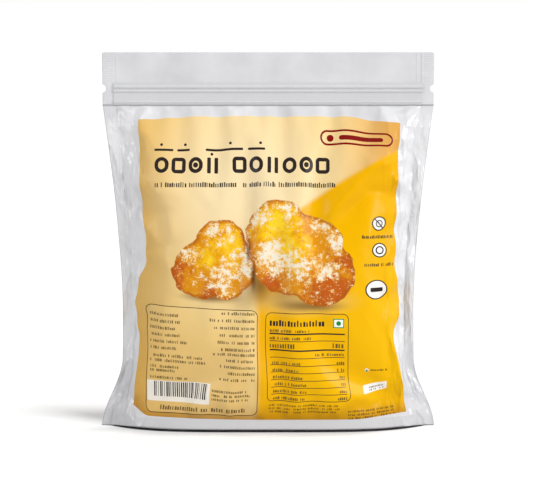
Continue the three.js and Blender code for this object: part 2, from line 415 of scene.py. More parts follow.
@dataclass(frozen=True)
class FilmCloth:
    """The simulation that presses the filling out against the film, which gathers at its seals.

    The film rests at its flat cutting size. Its seals, rim and header are held where the filled
    pouch has them, so the film between them has more height at the sides than it needs.
    """

    enlarge: float = 10.0  # the solver is steadier on a large piece
    frames: int = 45
    quality: int = 6
    mass: float = 0.3
    stretch: float = 400.0
    shear: float = 40.0
    bending: float = 300.0
    damping: float = 5.0
    bending_damping: float = 0.5
    pressure: float = 5.0
    unevenness: float = 1.5
    unevenness_length: float = 38.0
    calm_under_zip: float = 60.0
    calm_over_rim: float = 25.0
    faces_apart: float = 300.0  # how far apart the two faces lie in the noise that stirs them
    grip: float = 0.3  # how firmly the filling keeps the film near its first shape
    merge_gap: float = 1e-7  # less than any two vertices lie apart

    def settle(self, film: bpy.types.Object, form: PouchForm) -> None:
        """Runs the simulation and keeps its last shape."""
        mesh = film.data
        flat = read_vectors(mesh, "flat_mm")
        free = self._free(flat, form)
        start = self._uneven(read_vectors(mesh), flat, free, form)
        across = form.cut_half(flat[:, 0], flat[:, 2])
        rest = np.column_stack([across, flat[:, 1] * form.film / 2, flat[:, 2]]) * MM
        mesh.vertices.foreach_set("co", (start * self.enlarge).ravel())
        film.shape_key_add(name="Basis")
        cut = film.shape_key_add(name="cut")
        cut.data.foreach_set("co", (rest * self.enlarge).ravel())
        cut.value = 0.0
        held = film.vertex_groups.new(name="held")
        held.add([int(i) for i in np.flatnonzero(~free)], 1.0, "REPLACE")
        held.add([int(i) for i in np.flatnonzero(free)], self.grip, "REPLACE")
        # Blender reads a cloth's rest shape only behind another modifier that remakes the mesh.
        film.modifiers.new("pass_on", "WELD").merge_threshold = self.merge_gap
        cloth = film.modifiers.new("fill", "CLOTH")
        self._set_up(cloth, cut)
        for frame in range(1, self.frames + 1):
            bpy.context.scene.frame_set(frame)
        settled = film.evaluated_get(bpy.context.evaluated_depsgraph_get()).to_mesh()
        places = read_vectors(settled) / self.enlarge
        film.modifiers.clear()
        film.shape_key_clear()
        film.vertex_groups.clear()
        bpy.context.scene.frame_set(1)
        # The two faces can't pass through each other at the middle plane.
        clear = form.film / 2 * MM
        side = np.sign(flat[:, 1])
        places[:, 1] = np.where(free, side * np.maximum(side * places[:, 1], clear), places[:, 1])
        mesh.vertices.foreach_set("co", places.ravel())
        mesh.update()

    def _free(self, flat: np.ndarray, form: PouchForm) -> np.ndarray:
        """Which vertices move: those of the two faces between the seals, the rim and the zip."""
        across, side, up = np.abs(flat).T
        between = (across < form.flat_seam - NEAR) & (up > form.rim + NEAR) & (up < form.flat_zip - NEAR)
        return between & (side > 1 - NEAR)

    def _uneven(
        self, places: np.ndarray, flat: np.ndarray, free: np.ndarray, form: PouchForm
    ) -> np.ndarray:
        """Stirs the smooth form a little, so that the film gathers unevenly."""
        places = places.copy()
        calm = smooth((form.flat_zip - flat[:, 2]) / self.calm_under_zip)
        calm *= smooth((flat[:, 2] - form.rim) / self.calm_over_rim)
        for i in np.flatnonzero(free):
            x, side, z = flat[i]
            at = Vector((x, side * self.faces_apart, z)) / self.unevenness_length
            places[i, 1] += side * self.unevenness * calm[i] * noise.noise(at) * MM
        return places

    def _set_up(self, cloth: bpy.types.Modifier, rest: bpy.types.ShapeKey) -> None:
        """Gives the cloth modifier the film's settings."""
        settings = cloth.settings
        settings.quality = self.quality
        settings.mass = self.mass
        settings.tension_stiffness = settings.compression_stiffness = self.stretch
        settings.shear_stiffness = self.shear
        settings.bending_stiffness = self.bending
        settings.tension_damping = settings.compression_damping = self.damping
        settings.shear_damping = self.damping
        settings.bending_damping = self.bending_damping
        settings.vertex_group_mass = "held"
        settings.rest_shape_key = rest
        settings.use_pressure = True
        settings.uniform_pressure_force = self.pressure
        settings.effector_weights.gravity = 0.0
        cloth.collision_settings.use_collision = False
        cloth.point_cache.frame_start = 1
        cloth.point_cache.frame_end = self.frames


@dataclass(frozen=True)
class Bulge:
    """Where one side of the print lies further out than drawn, in millimetres.

    Args:
        side: 1 for the right and -1 for the left, as seen.
        out: How far it lies out.
        height: The height of the fullest place.
        reach: How far up and down it goes.
        beside: Where across the face it begins.
    """

    side: int
    out: float
    height: float
    reach: float
    beside: Ease = Ease(62.0, 30.0)

    def drift(self, seen: np.ndarray, up: np.ndarray) -> np.ndarray:
        """How far it carries each place to the right."""
        share = self.beside.at(self.side * seen) * smooth(1 - np.abs(up - self.height) / self.reach)
        return self.side * self.out * share


@dataclass(frozen=True)
class PrintSlip:
    """How the print lies on the filled film.

    It spreads towards the foot, rides up where the film gathers into the corners of the foot, and
    hangs down at the corners under the zip.
    """

    spread_at_foot: float = 1.03
    spread_at_top: float = 0.965
    top: float = 197.0
    low: Ease = Ease(44.0, -36.0)
    right_corner: Ease = Ease(52.0, 34.0)
    right_corner_rise: float = 3.0
    left_corner: Ease = Ease(-74.0, -14.0)
    left_corner_rise: float = 6.5
    left: Ease = Ease(-5.0, -78.0)
    left_low: Ease = Ease(105.0, -25.0)
    left_foot: Ease = Ease(0.0, 30.0)
    left_foot_share: float = 0.3
    left_rise: float = 3.2
    high: Ease = Ease(160.0, 35.0)
    beside: Ease = Ease(45.0, 38.0)
    left_drop: float = 2.6
    right_drop: float = 4.9
    bulges: tuple[Bulge, ...] = (
        Bulge(-1, 8.5, 78.0, 33.0),
        Bulge(-1, -6.0, 118.0, 26.0),
        Bulge(1, 6.5, 80.0, 24.0),
        Bulge(1, -3.0, 54.0, 16.0),
    )
    level_line: float = 78.0
    upright_line: float = -4.4

    def plates(self, across: np.ndarray, up: np.ndarray) -> np.ndarray:
        """Which plate prints each place of the print."""
        lower = np.where(across < self.upright_line, Plate.LOWER_LEFT, Plate.LOWER_RIGHT)
        return np.where(up > self.level_line, Plate.UPPER, lower)

    def width(self, up: np.ndarray) -> np.ndarray:
        """Width of the print on the film as a share of its drawn width."""
        return mix(self.spread_at_foot, self.spread_at_top, np.clip(up / self.top, 0, 1))

    def height(self, seen: np.ndarray, up: np.ndarray) -> np.ndarray:
        """How much higher than drawn the print lies, in millimetres."""
        corner = self.right_corner_rise * self.right_corner.at(seen)
        corner += self.left_corner_rise * self.left_corner.at(seen)
        corner *= self.low.at(up)
        left = self.left_rise * self.left.at(seen) * self.left_low.at(up)
        left *= mix(self.left_foot_share, 1.0, self.left_foot.at(up))
        drop = np.where(seen > 0, self.right_drop, self.left_drop)
        return corner + left - drop * self.beside.at(np.abs(seen)) * self.high.at(up)


@dataclass
class PouchFilm:
    """The whole film of the pouch as one closed skin."""

    form: PouchForm
    cloth: FilmCloth = field(default_factory=FilmCloth)
    print_slip: PrintSlip = field(default_factory=PrintSlip)
    columns_in_room: int = 84
    columns_in_seal: int = 3
    rows_in_rim: int = 3
    rows_in_room: int = 88
    rows_in_header: int = 16
    rows_in_notch: int = 8
    clear_of_notch: float = 0.6
    rows_under: int = 10
    weld_crease: float = 0.8
    # Where the folds die out: inward from the seals, the rim, the zip and the film's edges.
    folds_off_seam: Ease = Ease(0.0, 3.0)
    folds_off_rim: Ease = Ease(0.0, 6.0)
    folds_off_zip: Ease = Ease(0.0, 8.0)
    folds_over_zip: Ease = Ease(13.0, 4.0)
    folds_off_top: Ease = Ease(0.0, 3.0)
    folds_into_seal: Ease = Ease(-12.0, 6.0)
    folds_off_foot: Ease = Ease(2.0, 8.0)
    folds_off_edge: Ease = Ease(-0.6, 3.0)
    flat_base_z: float = 0.3
    open_base: float = 14.0
    # How the base film runs in from the rim: distance in and height, in millimetres.
    gusset: tuple[Point, ...] = ((0.3, 7.5), (2.5, 4.5), (6.0, 1.5), (11.0, 0.3))
    # The bake map's shares: the faces' width and height, and the strip's foot and height.
    bake_faces: Point = (0.98, 0.96)
    bake_strip: Point = (0.97, 0.025)

    def stations(self) -> tuple[np.ndarray, np.ndarray]:
        """Flat positions of the grid's columns and rows.

        Returns:
            Distances across from the middle and up from the base edge, in millimetres.
        """
        form = self.form
        seal = np.linspace(form.flat_seam, form.flat_half, self.columns_in_seal + 1)[1:]
        room = np.linspace(-form.flat_seam, form.flat_seam, self.columns_in_room + 1)
        across = np.concatenate([-seal[::-1], room, seal])
        rim = np.linspace(0, form.rim, self.rows_in_rim + 1)
        middle = np.linspace(form.rim, form.flat_zip, self.rows_in_room + 1)[1:]
        header = np.linspace(form.flat_zip, form.flat_top, self.rows_in_header + 1)[1:]
        notch = form.flat_zip + form.notch_z - form.zip_z
        turn = np.linspace(-0.5, 0.5, self.rows_in_notch + 1) * math.pi
        fine = notch + form.notch_radius * np.sin(turn)
        header = header[np.abs(header - notch) > form.notch_radius + self.clear_of_notch]
        return across, np.concatenate([rim, middle, np.sort(np.concatenate([header, fine]))])

    def filled_place(self, flat: np.ndarray, face: Face) -> np.ndarray:
        """Where points of a flat panel lie on the smooth filled pouch.

        Args:
            flat: Flat positions, two columns: across and up.
            face: The panel's side.

        Returns:
            Positions in millimetres, three columns.
        """
        form = self.form
        across, up = flat[:, 0], flat[:, 1]
        in_room = np.clip((up - form.rim) / form.flat_room_rise, 0, 1)
        z = np.where(up < form.rim, up, mix(form.rim, form.zip_z, in_room))
        z = np.where(up > form.flat_zip, form.zip_z + up - form.flat_zip, z)
        u = np.clip(across / form.flat_seam, -1, 1)
        in_seal = np.clip((np.abs(across) - form.flat_seam) / form.seal, 0, 1)
        edge = form.film_half(z) - form.notch(z)
        x = np.sign(across) * mix(np.abs(u) * form.seam_half(z), edge, in_seal)
        body = form.half_depth(z) * form.section(u, z)
        rim = form.rim_half_depth(x, z) * (1 - in_seal)
        depth = np.where(z <= form.rim, rim, mix(rim, body, smooth((z - form.rim) / form.rim_blend)))
        depth = np.where(z >= form.zip_z, 0, depth) + form.film / 2
        sway = form.fin_sway(z, np.sign(across)) * in_seal
        return np.column_stack([x, face.value * depth + sway, z])

    def build(self) -> bpy.types.Object:
        """Builds the closed skin, fills it and folds it."""
        film = place_mesh("pouch_film", self._skin())
        data = film.data
        self.cloth.settle(film, self.form)
        self._crease(data)
        self._add_print_places(data)
        self._share_plates(data)
        self._add_bake_map(data)
        data.polygons.foreach_set("use_smooth", np.ones(len(data.polygons), bool))
        finer = film.modifiers.new("finer", "SUBSURF")
        finer.levels = finer.render_levels = 1
        return film

    def _skin(self) -> bmesh.types.BMesh:
        """Makes the two panels, joins them all round and lays the gusset into the base."""
        across, up = self.stations()
        columns, rows = len(across) - 1, len(up) - 1
        mesh = bmesh.new()
        flat_layer = mesh.verts.layers.float_vector.new("flat_mm")
        borders = []
        for face in Face:
            made = bmesh.ops.create_grid(mesh, x_segments=columns, y_segments=rows, size=1.0)
            corners = np.array([v.co[:2] for v in made["verts"]])
            column = np.rint((corners[:, 0] + 1) / 2 * columns).astype(int)
            row = np.rint((corners[:, 1] + 1) / 2 * rows).astype(int)
            flat = np.column_stack([across[column], up[row]])
            for vert, place, (x, z) in zip(made["verts"], self.filled_place(flat, face), flat):
                vert.co = Vector(place) * MM
                vert[flat_layer] = (x, face.value, z)
            borders += [e for v in made["verts"] for e in v.link_edges if e.is_boundary]
        bmesh.ops.bridge_loops(mesh, edges=list(set(borders)))
        under = [e for e in mesh.edges if self._crosses_base(e, flat_layer)]
        bmesh.ops.subdivide_edges(mesh, edges=under, cuts=self.rows_under - 1, use_grid_fill=True)
        self._lay_gusset(mesh, flat_layer)
        self._crease_welds(mesh, flat_layer)
        bmesh.ops.recalc_face_normals(mesh, faces=mesh.faces)
        return mesh

    def _crease_welds(self, mesh: bmesh.types.BMesh, layer: object) -> None:
        """Keeps the film's break at the side seals, the rim and the zip sharp when it is made finer."""
        form = self.form
        crease = mesh.edges.layers.float.new("crease_edge")
        for edge in mesh.edges:
            a, b = (v[layer] for v in edge.verts)
            at_seam = abs(a.x - b.x) < NEAR and abs(abs(a.x) - form.flat_seam) < NEAR
            off_weld = min(abs(a.z - form.flat_zip), abs(a.z - form.rim))
            if at_seam or (abs(a.z - b.z) < NEAR and off_weld < NEAR):
                edge[crease] = self.weld_crease
                edge.smooth = False

    def _crosses_base(self, edge: bmesh.types.BMEdge, layer: object) -> bool:
        """Whether an edge joins the front's lower edge to the back's."""
        a, b = (v[layer] for v in edge.verts)
        return a.z == 0 and b.z == 0 and a.y * b.y < 0

    def _lay_gusset(self, mesh: bmesh.types.BMesh, layer: object) -> None:
        """Runs the base film up inside the rim, back down and flat across the middle."""
        form = self.form
        for vert in mesh.verts:
            flat = vert[layer]
            if flat.z != 0 or abs(flat.y) > 1 - NEAR:
                continue
            steps_in = round((1 - abs(flat.y)) / 2 * self.rows_under)
            x = vert.co.x / MM
            depth = float(form.rim_half_depth(np.float64(x), np.float64(0)))
            spread = flat.y * form.film / 2  # keeps the plies apart where the base closes
            if steps_in > len(self.gusset):
                vert.co.y, vert.co.z = spread * MM, self.flat_base_z * MM
                continue
            inward, height = self.gusset[steps_in - 1]
            lean = form.rim_lean * height / form.rim if steps_in == 1 else 0.0
            room = min(1.0, depth / self.open_base)
            y = max(depth + lean - inward * room, 0) * (1 if flat.y > 0 else -1)
            vert.co.y, vert.co.z = (y + spread) * MM, height * room * MM

    def _crease(self, data: bpy.types.Mesh) -> None:
        """Presses the named folds into the settled film."""
        form = self.form
        flat = read_vectors(data, "flat_mm")
        places = read_vectors(data)
        across, side, up = flat.T
        outward = np.abs(across)
        in_room = self.folds_off_seam.at(form.flat_seam - outward) * self.folds_off_rim.at(up - form.rim)
        in_room *= self.folds_off_zip.at(form.flat_zip - up)
        for face, creases in ((Face.FRONT, FRONT_CREASES), (Face.BACK, BACK_CREASES)):
            here = side == face.value
            lift = in_room * sum(c.lift(across, up) for c in creases)
            places[here, 1] += face.value * lift[here] * MM
        in_header = self.folds_over_zip.at(up - form.flat_zip) * self.folds_off_top.at(form.flat_top - up)
        in_seal = self.folds_into_seal.at(outward - form.flat_seam) * self.folds_off_foot.at(up)
        in_seal *= self.folds_off_edge.at(form.flat_half - outward)
        sway = in_header * sum(c.lift(across, up) for c in HEADER_CREASES)
        sway += in_seal * sum(c.lift(across, up) for c in SEAL_CREASES)
        places[:, 1] -= sway * MM
        data.vertices.foreach_set("co", places.ravel())
        data.update()

    def _add_print_places(self, data: bpy.types.Mesh) -> None:
        """Stores where each vertex lies on the print, as seen from that face's own side."""
        across, side, up = read_vectors(data, "flat_mm").T
        seen = -side * across
        slip = self.print_slip.height(seen, up)
        width = self.print_slip.width(up)
        places = data.attributes.new("print_mm", "FLOAT_VECTOR", "POINT")
        drift = sum(bulge.drift(seen, up) for bulge in self.print_slip.bulges)
        printed = np.column_stack([(seen - drift) / width, up - slip, side])
        places.data.foreach_set("vector", printed.ravel())
        seams = data.attributes.new("film_mm", "FLOAT_VECTOR", "POINT")
        seams.data.foreach_set("vector", np.column_stack([seen, up, side]).ravel())

    def _share_plates(self, data: bpy.types.Mesh) -> None:
        """Gives each polygon the material of the plate that prints its middle."""
        corners, first, count = read_faces(data)
        places = read_vectors(data, "print_mm")[corners]
        across, up = (np.add.reduceat(places[:, i], first) / count for i in (0, 1))
        plates = self.print_slip.plates(across, up).astype(np.int32)
        data.polygons.foreach_set("material_index", plates)

    def _add_bake_map(self, data: bpy.types.Mesh) -> None:
        """Lays the two faces side by side for baking, and the base and the edges in a strip above."""
        form = self.form
        corners, first, count = read_faces(data)
        across, side, up = read_vectors(data, "flat_mm")[corners].T
        most, least = np.maximum.reduceat(side, first), np.minimum.reduceat(side, first)
        on_face = np.repeat((most == least) & (np.abs(most) > 1 - NEAR), count)
        share = (1 + self.bake_faces[0] * across / form.flat_half) / 2
        u = np.where(on_face, (share + (side > 0)) / 2, share)
        strip = self.bake_strip[0] + self.bake_strip[1] * (side + 1) / 2
        v = np.where(on_face, self.bake_faces[1] * up / form.flat_top, strip)
        bake = data.uv_layers.new(name="OFBake")
        bake.data.foreach_set("uv", np.column_stack([u, v]).ravel())


@dataclass(frozen=True)
class Rib:
    """A rib of the zip: its height on the pouch and its radius."""

    z: float
    radius: float


@dataclass(frozen=True)
class ZipStrip:
    """One half of the press-to-close zip, under the header film: a flange with its ribs."""

    face: Face
    film: float
    bottom_z: float = 198.2
    top_z: float = 211.6
    flange: float = 0.5
    half_length: float = 94.0
    ribs: tuple[Rib, ...] = (Rib(199.8, 0.6), Rib(206.5, 0.75), Rib(209.0, 0.85))
    steps_along: int = 94
    steps_round: int = 10
    rib_foot: float = 1.35  # the film runs out softly on either side of a rib
    rib_power: float = 1.5
    sunk: float = 0.05  # how far the strip's root lies in the header
    sharp_angle: float = math.radians(50)

    def profile(self) -> list[Point]:
        """The strip's section: distance out of the header and height, from the bottom up."""
        root, outer = self.film / 2 - self.sunk, self.film / 2 + self.flange
        points = [(root, self.bottom_z), (outer, self.bottom_z)]
        for rib in self.ribs:
            for step in range(self.steps_round + 1):
                angle = -math.pi / 2 + math.pi * step / self.steps_round
                out = rib.radius * math.cos(angle) ** self.rib_power
                points.append((outer + out, rib.z + self.rib_foot * rib.radius * math.sin(angle)))
        return [*points, (outer, self.top_z), (root, self.top_z)]

    def build(self) -> bpy.types.Object:
        """Draws the section along the header and closes its ends."""
        mesh = bmesh.new()
        ends = [
            mesh.verts.new(Vector((-self.half_length, self.face.value * out, z)) * MM)
            for out, z in self.profile()
        ]
        section = mesh.faces.new(ends)
        step = Vector((2 * self.half_length / self.steps_along * MM, 0, 0))
        front = [section]
        for _ in range(self.steps_along):
            made = bmesh.ops.extrude_face_region(mesh, geom=front, use_keep_orig=front[0] is section)
            moved = [g for g in made["geom"] if isinstance(g, bmesh.types.BMVert)]
            bmesh.ops.translate(mesh, verts=moved, vec=step)
            front = [g for g in made["geom"] if isinstance(g, bmesh.types.BMFace)]
        bmesh.ops.recalc_face_normals(mesh, faces=mesh.faces)
        strip = place_mesh(f"zip_ribs_{self.face.name.lower()}", mesh)
        strip.data.shade_smooth()
        strip.data.set_sharp_from_angle(angle=self.sharp_angle)
        return strip


# ------------------------------------------------------------------------------- the print


@dataclass(frozen=True)
class Box:
    """A rectangle on the print, in flat millimetres from its lower left to its upper right."""

    left: float
    bottom: float
    right: float
    top: float

    @property
    def centre(self) -> tuple[float, float, float]:
        """The middle of the rectangle."""
        return (self.left + self.right) / 2, (self.bottom + self.top) / 2, 0.0

    def half_less(self, margin: float) -> tuple[float, float, float]:
        """Half the sides of the rectangle, less a margin."""
        return (self.right - self.left) / 2 - margin, (self.top - self.bottom) / 2 - margin, 0.0


@dataclass(frozen=True)
class BlockRows:
    """Rows of small upright blocks that stand where a pack has small type.

    Args:
        box: The room they fill.
        pitch: Height of a row with the space above it.
        block: Width of a block with the space beside it.
        ink: Share of the row's height that the tallest blocks take.
        seed: Which of the random layouts.
        ragged: Largest share of a row left empty at its end.
        gaps: Share of the blocks left out, which makes the groups.
        from_right: Whether the rows start at the right.
        lowest: Height of the lowest block as a share of the ink's; the tallest has half as much more.
        narrowest: How much of its width the narrowest block takes.
    """

    box: Box
    pitch: float
    block: float
    ink: float
    seed: float
    ragged: float = 0.0
    gaps: float = 0.2
    from_right: bool = False
    lowest: float = 0.7
    narrowest: float = 0.4


@dataclass(frozen=True)
class Wash:
    """A colour that comes in softly while a value goes from start to end."""

    colour: str
    start: float
    end: float
    strength: float = 1.0


@dataclass(frozen=True)
class Grain:
    """Noise on the print.

    Args:
        size: How many millimetres its largest features take.
        detail: How many times finer noise is laid over it.
        roughness: How strong the finer noise is.
        seed: What sets it apart from other noise in the same piece.
    """

    size: float
    detail: float
    roughness: float
    seed: float = 0.0


@dataclass
class Painter:
    """Lays one colour over another by masks on the print or the film, and keeps the running colour."""

    tree: bpy.types.NodeTree
    at: Socket
    across: Socket
    up: Socket
    colour: Socket

    def node(self, kind: str, *inputs: Socket | float | tuple | None, **options: object) -> Socket:
        """Adds a node to the finish being painted."""
        return add_node(self.tree, kind, *inputs, **options)

    def lay(self, mask: Socket, colour: str | Socket, strength: float = 1.0) -> None:
        """Covers what a mask picks out."""
        if strength != 1.0:
            mask = self.node(MATH, mask, strength, operation="MULTIPLY")
        over = linear(colour) if isinstance(colour, str) else colour
        named = {MIX_UNDER: self.colour, MIX_OVER: over}
        self.colour = self.node(MIX, mask, named=named, out=MIX_RESULT, data_type="RGBA")

    def wash(self, value: Socket, wash: Wash, within: Socket | None = None) -> None:
        """Lays a wash by a value, inside a mask where one is given."""
        mask = self.fade(value, wash.start, wash.end)
        self.lay(self.both(within, mask) if within else mask, wash.colour, wash.strength)

    def both(self, one: Socket, other: Socket) -> Socket:
        """What two masks have in common."""
        return self.node(MATH, one, other, operation="MULTIPLY")

    def reach(self, box: Box, radius: float) -> Socket:
        """Distance outside a rectangle drawn in by a radius."""
        off = self.node(VECTOR, self.at, box.centre, operation="SUBTRACT")
        off = self.node(VECTOR, off, operation="ABSOLUTE")
        off = self.node(VECTOR, off, box.half_less(radius), operation="SUBTRACT")
        off = self.node(VECTOR, off, (0.0, 0.0, 0.0), operation="MAXIMUM")
        return self.node(VECTOR, off, out="Value", operation="LENGTH")

    def box(self, box: Box, radius: float = 0.3) -> Socket:
        """A mask of a rectangle with round corners."""
        return self.node(MATH, self.reach(box, radius), radius, operation="LESS_THAN")

    def outline(self, box: Box, radius: float, line: float) -> Socket:
        """A mask of a line round the inside of a rectangle with round corners."""
        reach = self.reach(box, radius)
        return self.node(MATH, reach, radius - line / 2, line / 2, operation="COMPARE")

    def disc(self, centre: Point, radius: float) -> Socket:
        """A mask of a round spot."""
        return self.node(MATH, self.away(centre), radius, operation="LESS_THAN")

    def ring(self, centre: Point, radius: float, line: float) -> Socket:
        """A mask of a circle drawn as a line."""
        return self.node(MATH, self.away(centre), radius, line / 2, operation="COMPARE")

    def fade(self, value: Socket, start: float, end: float) -> Socket:
        """A soft step of a value, from 0 at start to 1 at end."""
        named = {1: start, 2: end}
        return self.node(RANGE, value, named=named, interpolation_type="SMOOTHSTEP")

    def ramp(self, value: Socket, start: float, end: float) -> Socket:
        """A straight step of a value, from 0 at start to 1 at end."""
        return self.node(RANGE, value, named={1: start, 2: end})

    def line(self, value: Socket, at: float, width: float) -> Socket:
        """A soft line where a value passes a place: 1 on the line, 0 a width away."""
        off = self.node(MATH, value, at, operation="SUBTRACT")
        return self.fade(self.node(MATH, off, operation="ABSOLUTE"), width, 0.0)

    def away(self, centre: Point) -> Socket:
        """Distance from a point."""
        return self.node(VECTOR, self.at, (*centre, 0.0), out="Value", operation="DISTANCE")

    def grain(self, grain: Grain, seed: float) -> Socket:
        """Noise from 0 to 1, laid out by a seed."""
        at = self.node(VECTOR, self.at, (grain.seed + seed,) * 3, operation="ADD")
        named = {"Scale": 1 / grain.size, "Detail": grain.detail, "Roughness": grain.roughness}
        return self.node(NOISE, at, named=named, noise_dimensions="3D")

    def part(self, vector: Socket, axis: int, times: float = 1.0) -> Socket:
        """One component of a vector, times a number."""
        pick = tuple(times if i == axis else 0.0 for i in range(3))
        return self.node(VECTOR, vector, pick, out="Value", operation="DOT_PRODUCT")

    def rows_of_blocks(self, rows: BlockRows) -> Socket:
        """A mask of rows of small upright blocks in groups, as wide and dark as rows of small type."""
        corner = (rows.box.right if rows.from_right else rows.box.left, rows.box.bottom, 0.0)
        step = (-rows.block if rows.from_right else rows.block, rows.pitch, 1.0)
        cell = self.node(VECTOR, self.at, corner, operation="SUBTRACT")
        cell = self.node(VECTOR, cell, step, operation="DIVIDE")
        place = self.node(VECTOR, cell, operation="FLOOR")
        within = self.node(VECTOR, cell, operation="FRACTION")
        seeded = self.node(VECTOR, place, (0.0, 0.0, rows.seed), operation="ADD")
        chance = self.node(WHITE_NOISE, seeded, noise_dimensions="3D", out="Color")
        shown = self.node(MATH, self.part(chance, 0), rows.gaps, operation="GREATER_THAN")
        low = rows.lowest * rows.ink
        tall = self.node(MATH, self.part(chance, 1, low / 2), low, operation="ADD")
        mask = self.both(shown, self.node(MATH, self.part(within, 1), tall, operation="LESS_THAN"))
        narrow = rows.narrowest
        wide = self.node(MATH, self.part(chance, 2, narrow), narrow, operation="ADD")
        mask = self.both(mask, self.node(MATH, self.part(within, 0), wide, operation="LESS_THAN"))
        if rows.ragged:
            row = self.node(MATH, self.part(place, 1), rows.seed, operation="ADD")
            share = self.node(WHITE_NOISE, named={"W": row}, noise_dimensions="1D", out="Color")
            blocks = (rows.box.right - rows.box.left) / rows.block
            end = self.node(MATH, self.part(share, 0, -rows.ragged * blocks), blocks, operation="ADD")
            mask = self.both(mask, self.node(MATH, self.part(place, 0), end, operation="LESS_THAN"))
        return self.both(mask, self.box(rows.box))


@dataclass(frozen=True)
class Shadow:
    """A soft oval shadow on the print, in millimetres; its core is the share that is darkest."""

    centre: Point
    half_width: float
    half_height: float
    strength: float
    colour: str = "#7a5526"
    core: float = 0.1


@dataclass(frozen=True)
class Spot:
    """A round place on the print and how far it reaches, in millimetres."""

    centre: Point
    reach: float


@dataclass(frozen=True)
class Lump:
    """A picture of a lump of jaggery: round lobes run together, amber with white crusts.

    Args:
        lobes: The lobes of its outline.
        glows: Where the sugar is palest.
        shades: Where it is deepest.
        crusts: Where the dry white crust lies.
        seed: Which of the random patterns.
        wander: How far its outline wanders off the lobes, in millimetres.
        wander_size: How long a stretch of outline wanders one way, in millimetres.
        unevenness: How far its colours run into each other, in millimetres.
    """

    lobes: tuple[Spot, ...]
    glows: tuple[Spot, ...]
    shades: tuple[Spot, ...]
    crusts: tuple[Spot, ...]
    seed: float
    wander: float = 6.0
    wander_size: float = 9.0909
    wander_detail: float = 2.0
    unevenness: float = 44.0
    colour_grain: Grain = Grain(7.0, 6.0, 0.68)
    crust_grain: Grain = Grain(5.0, 10.0, 0.84, 7.0)
    fleck_grain: Grain = Grain(1.7, 4.0, 0.7, 11.0)
    lobe_blend: float = 4.0
    colour_blend: float = 8.0
    crust_gain: float = 0.11
    body: Wash = Wash("#dc8f14", 0.35, -0.35)
    deep: Wash = Wash("#bf5c17", 6.0, -5.0)
    pale: Wash = Wash("#f0b512", 6.0, -3.0)
    palest: Wash = Wash("#fbd327", -2.0, -12.0)
    rim: Wash = Wash("#a64f13", -3.2, 0.0, 0.75)
    thin_crust: Wash = Wash("#f3cf72", 0.5, 0.545, 0.75)
    thick_crust: Wash = Wash("#f1e8d6", 0.535, 0.575, 0.95)
    flecks: Wash = Wash("#fbe9bd", 0.62, 0.66, 0.75)
    pits: Wash = Wash("#a2480f", 0.37, 0.33, 0.55)

    def paint(self, p: Painter) -> None:
        """Paints the lump: its amber body, darker rim and white crust."""
        named = {"Scale": 1 / self.wander_size, "Detail": self.wander_detail}
        uneven = p.node(NOISE, p.at, named=named, out="Color")
        uneven = p.node(VECTOR, uneven, (0.5, 0.5, 0.5), operation="SUBTRACT")
        uneven = p.node(VECTOR, uneven, (self.wander, self.wander, 0.0), operation="MULTIPLY")
        at = p.node(VECTOR, p.at, uneven, operation="ADD")
        depth = self._zone(p, at, self.lobes, self.lobe_blend)
        inside = p.fade(depth, self.body.start, self.body.end)
        p.lay(inside, self.body.colour)
        rough = p.grain(self.colour_grain, self.seed)
        scale = self.unevenness
        rough = p.node(MATH, rough, scale, -scale / 2, operation="MULTIPLY_ADD")
        shade = self._zone(p, at, self.shades, self.colour_blend)
        p.wash(p.node(MATH, shade, rough, operation="ADD"), self.deep, inside)
        glow = self._zone(p, at, self.glows, self.colour_blend)
        glow = p.node(MATH, glow, rough, operation="SUBTRACT")
        p.wash(glow, self.pale, inside)
        p.wash(glow, self.palest, inside)
        p.wash(depth, self.rim, inside)
        self._paint_crust(p, inside)

    def _zone(self, p: Painter, at: Socket, spots: tuple[Spot, ...], blend: float) -> Socket:
        """Distance outside the nearest of some spots, which run together softly."""
        nearest = None
        for spot in spots:
            away = replace(p, at=at).away(spot.centre)
            away = p.node(MATH, away, spot.reach, operation="SUBTRACT")
            joined = nearest and p.node(MATH, nearest, away, blend, operation="SMOOTH_MIN")
            nearest = joined or away
        return nearest

    def _paint_crust(self, p: Painter, inside: Socket) -> None:
        """Paints the white crust in its places, and small flecks, glints and pits all over."""
        near = self._zone(p, p.at, self.crusts, self.lobe_blend)
        near = p.fade(near, self.colour_blend, -self.colour_blend / 2)
        near = p.node(MATH, near, self.crust_gain, -self.crust_gain / 2, operation="MULTIPLY_ADD")
        crust = p.node(MATH, p.grain(self.crust_grain, self.seed), near, operation="ADD")
        p.wash(crust, self.thin_crust, inside)
        p.wash(crust, self.thick_crust, inside)
        flecks = p.grain(self.fleck_grain, self.seed)
        p.wash(flecks, self.flecks, inside)
        p.wash(flecks, self.pits, inside)


class Mark(Enum):
    """A plain shape in the ornament that stands where a pack has its title."""

    RING = "ring"
    TARGET = "ring with a spot"
    FRAME = "square frame"
    BARS = "upright bars"


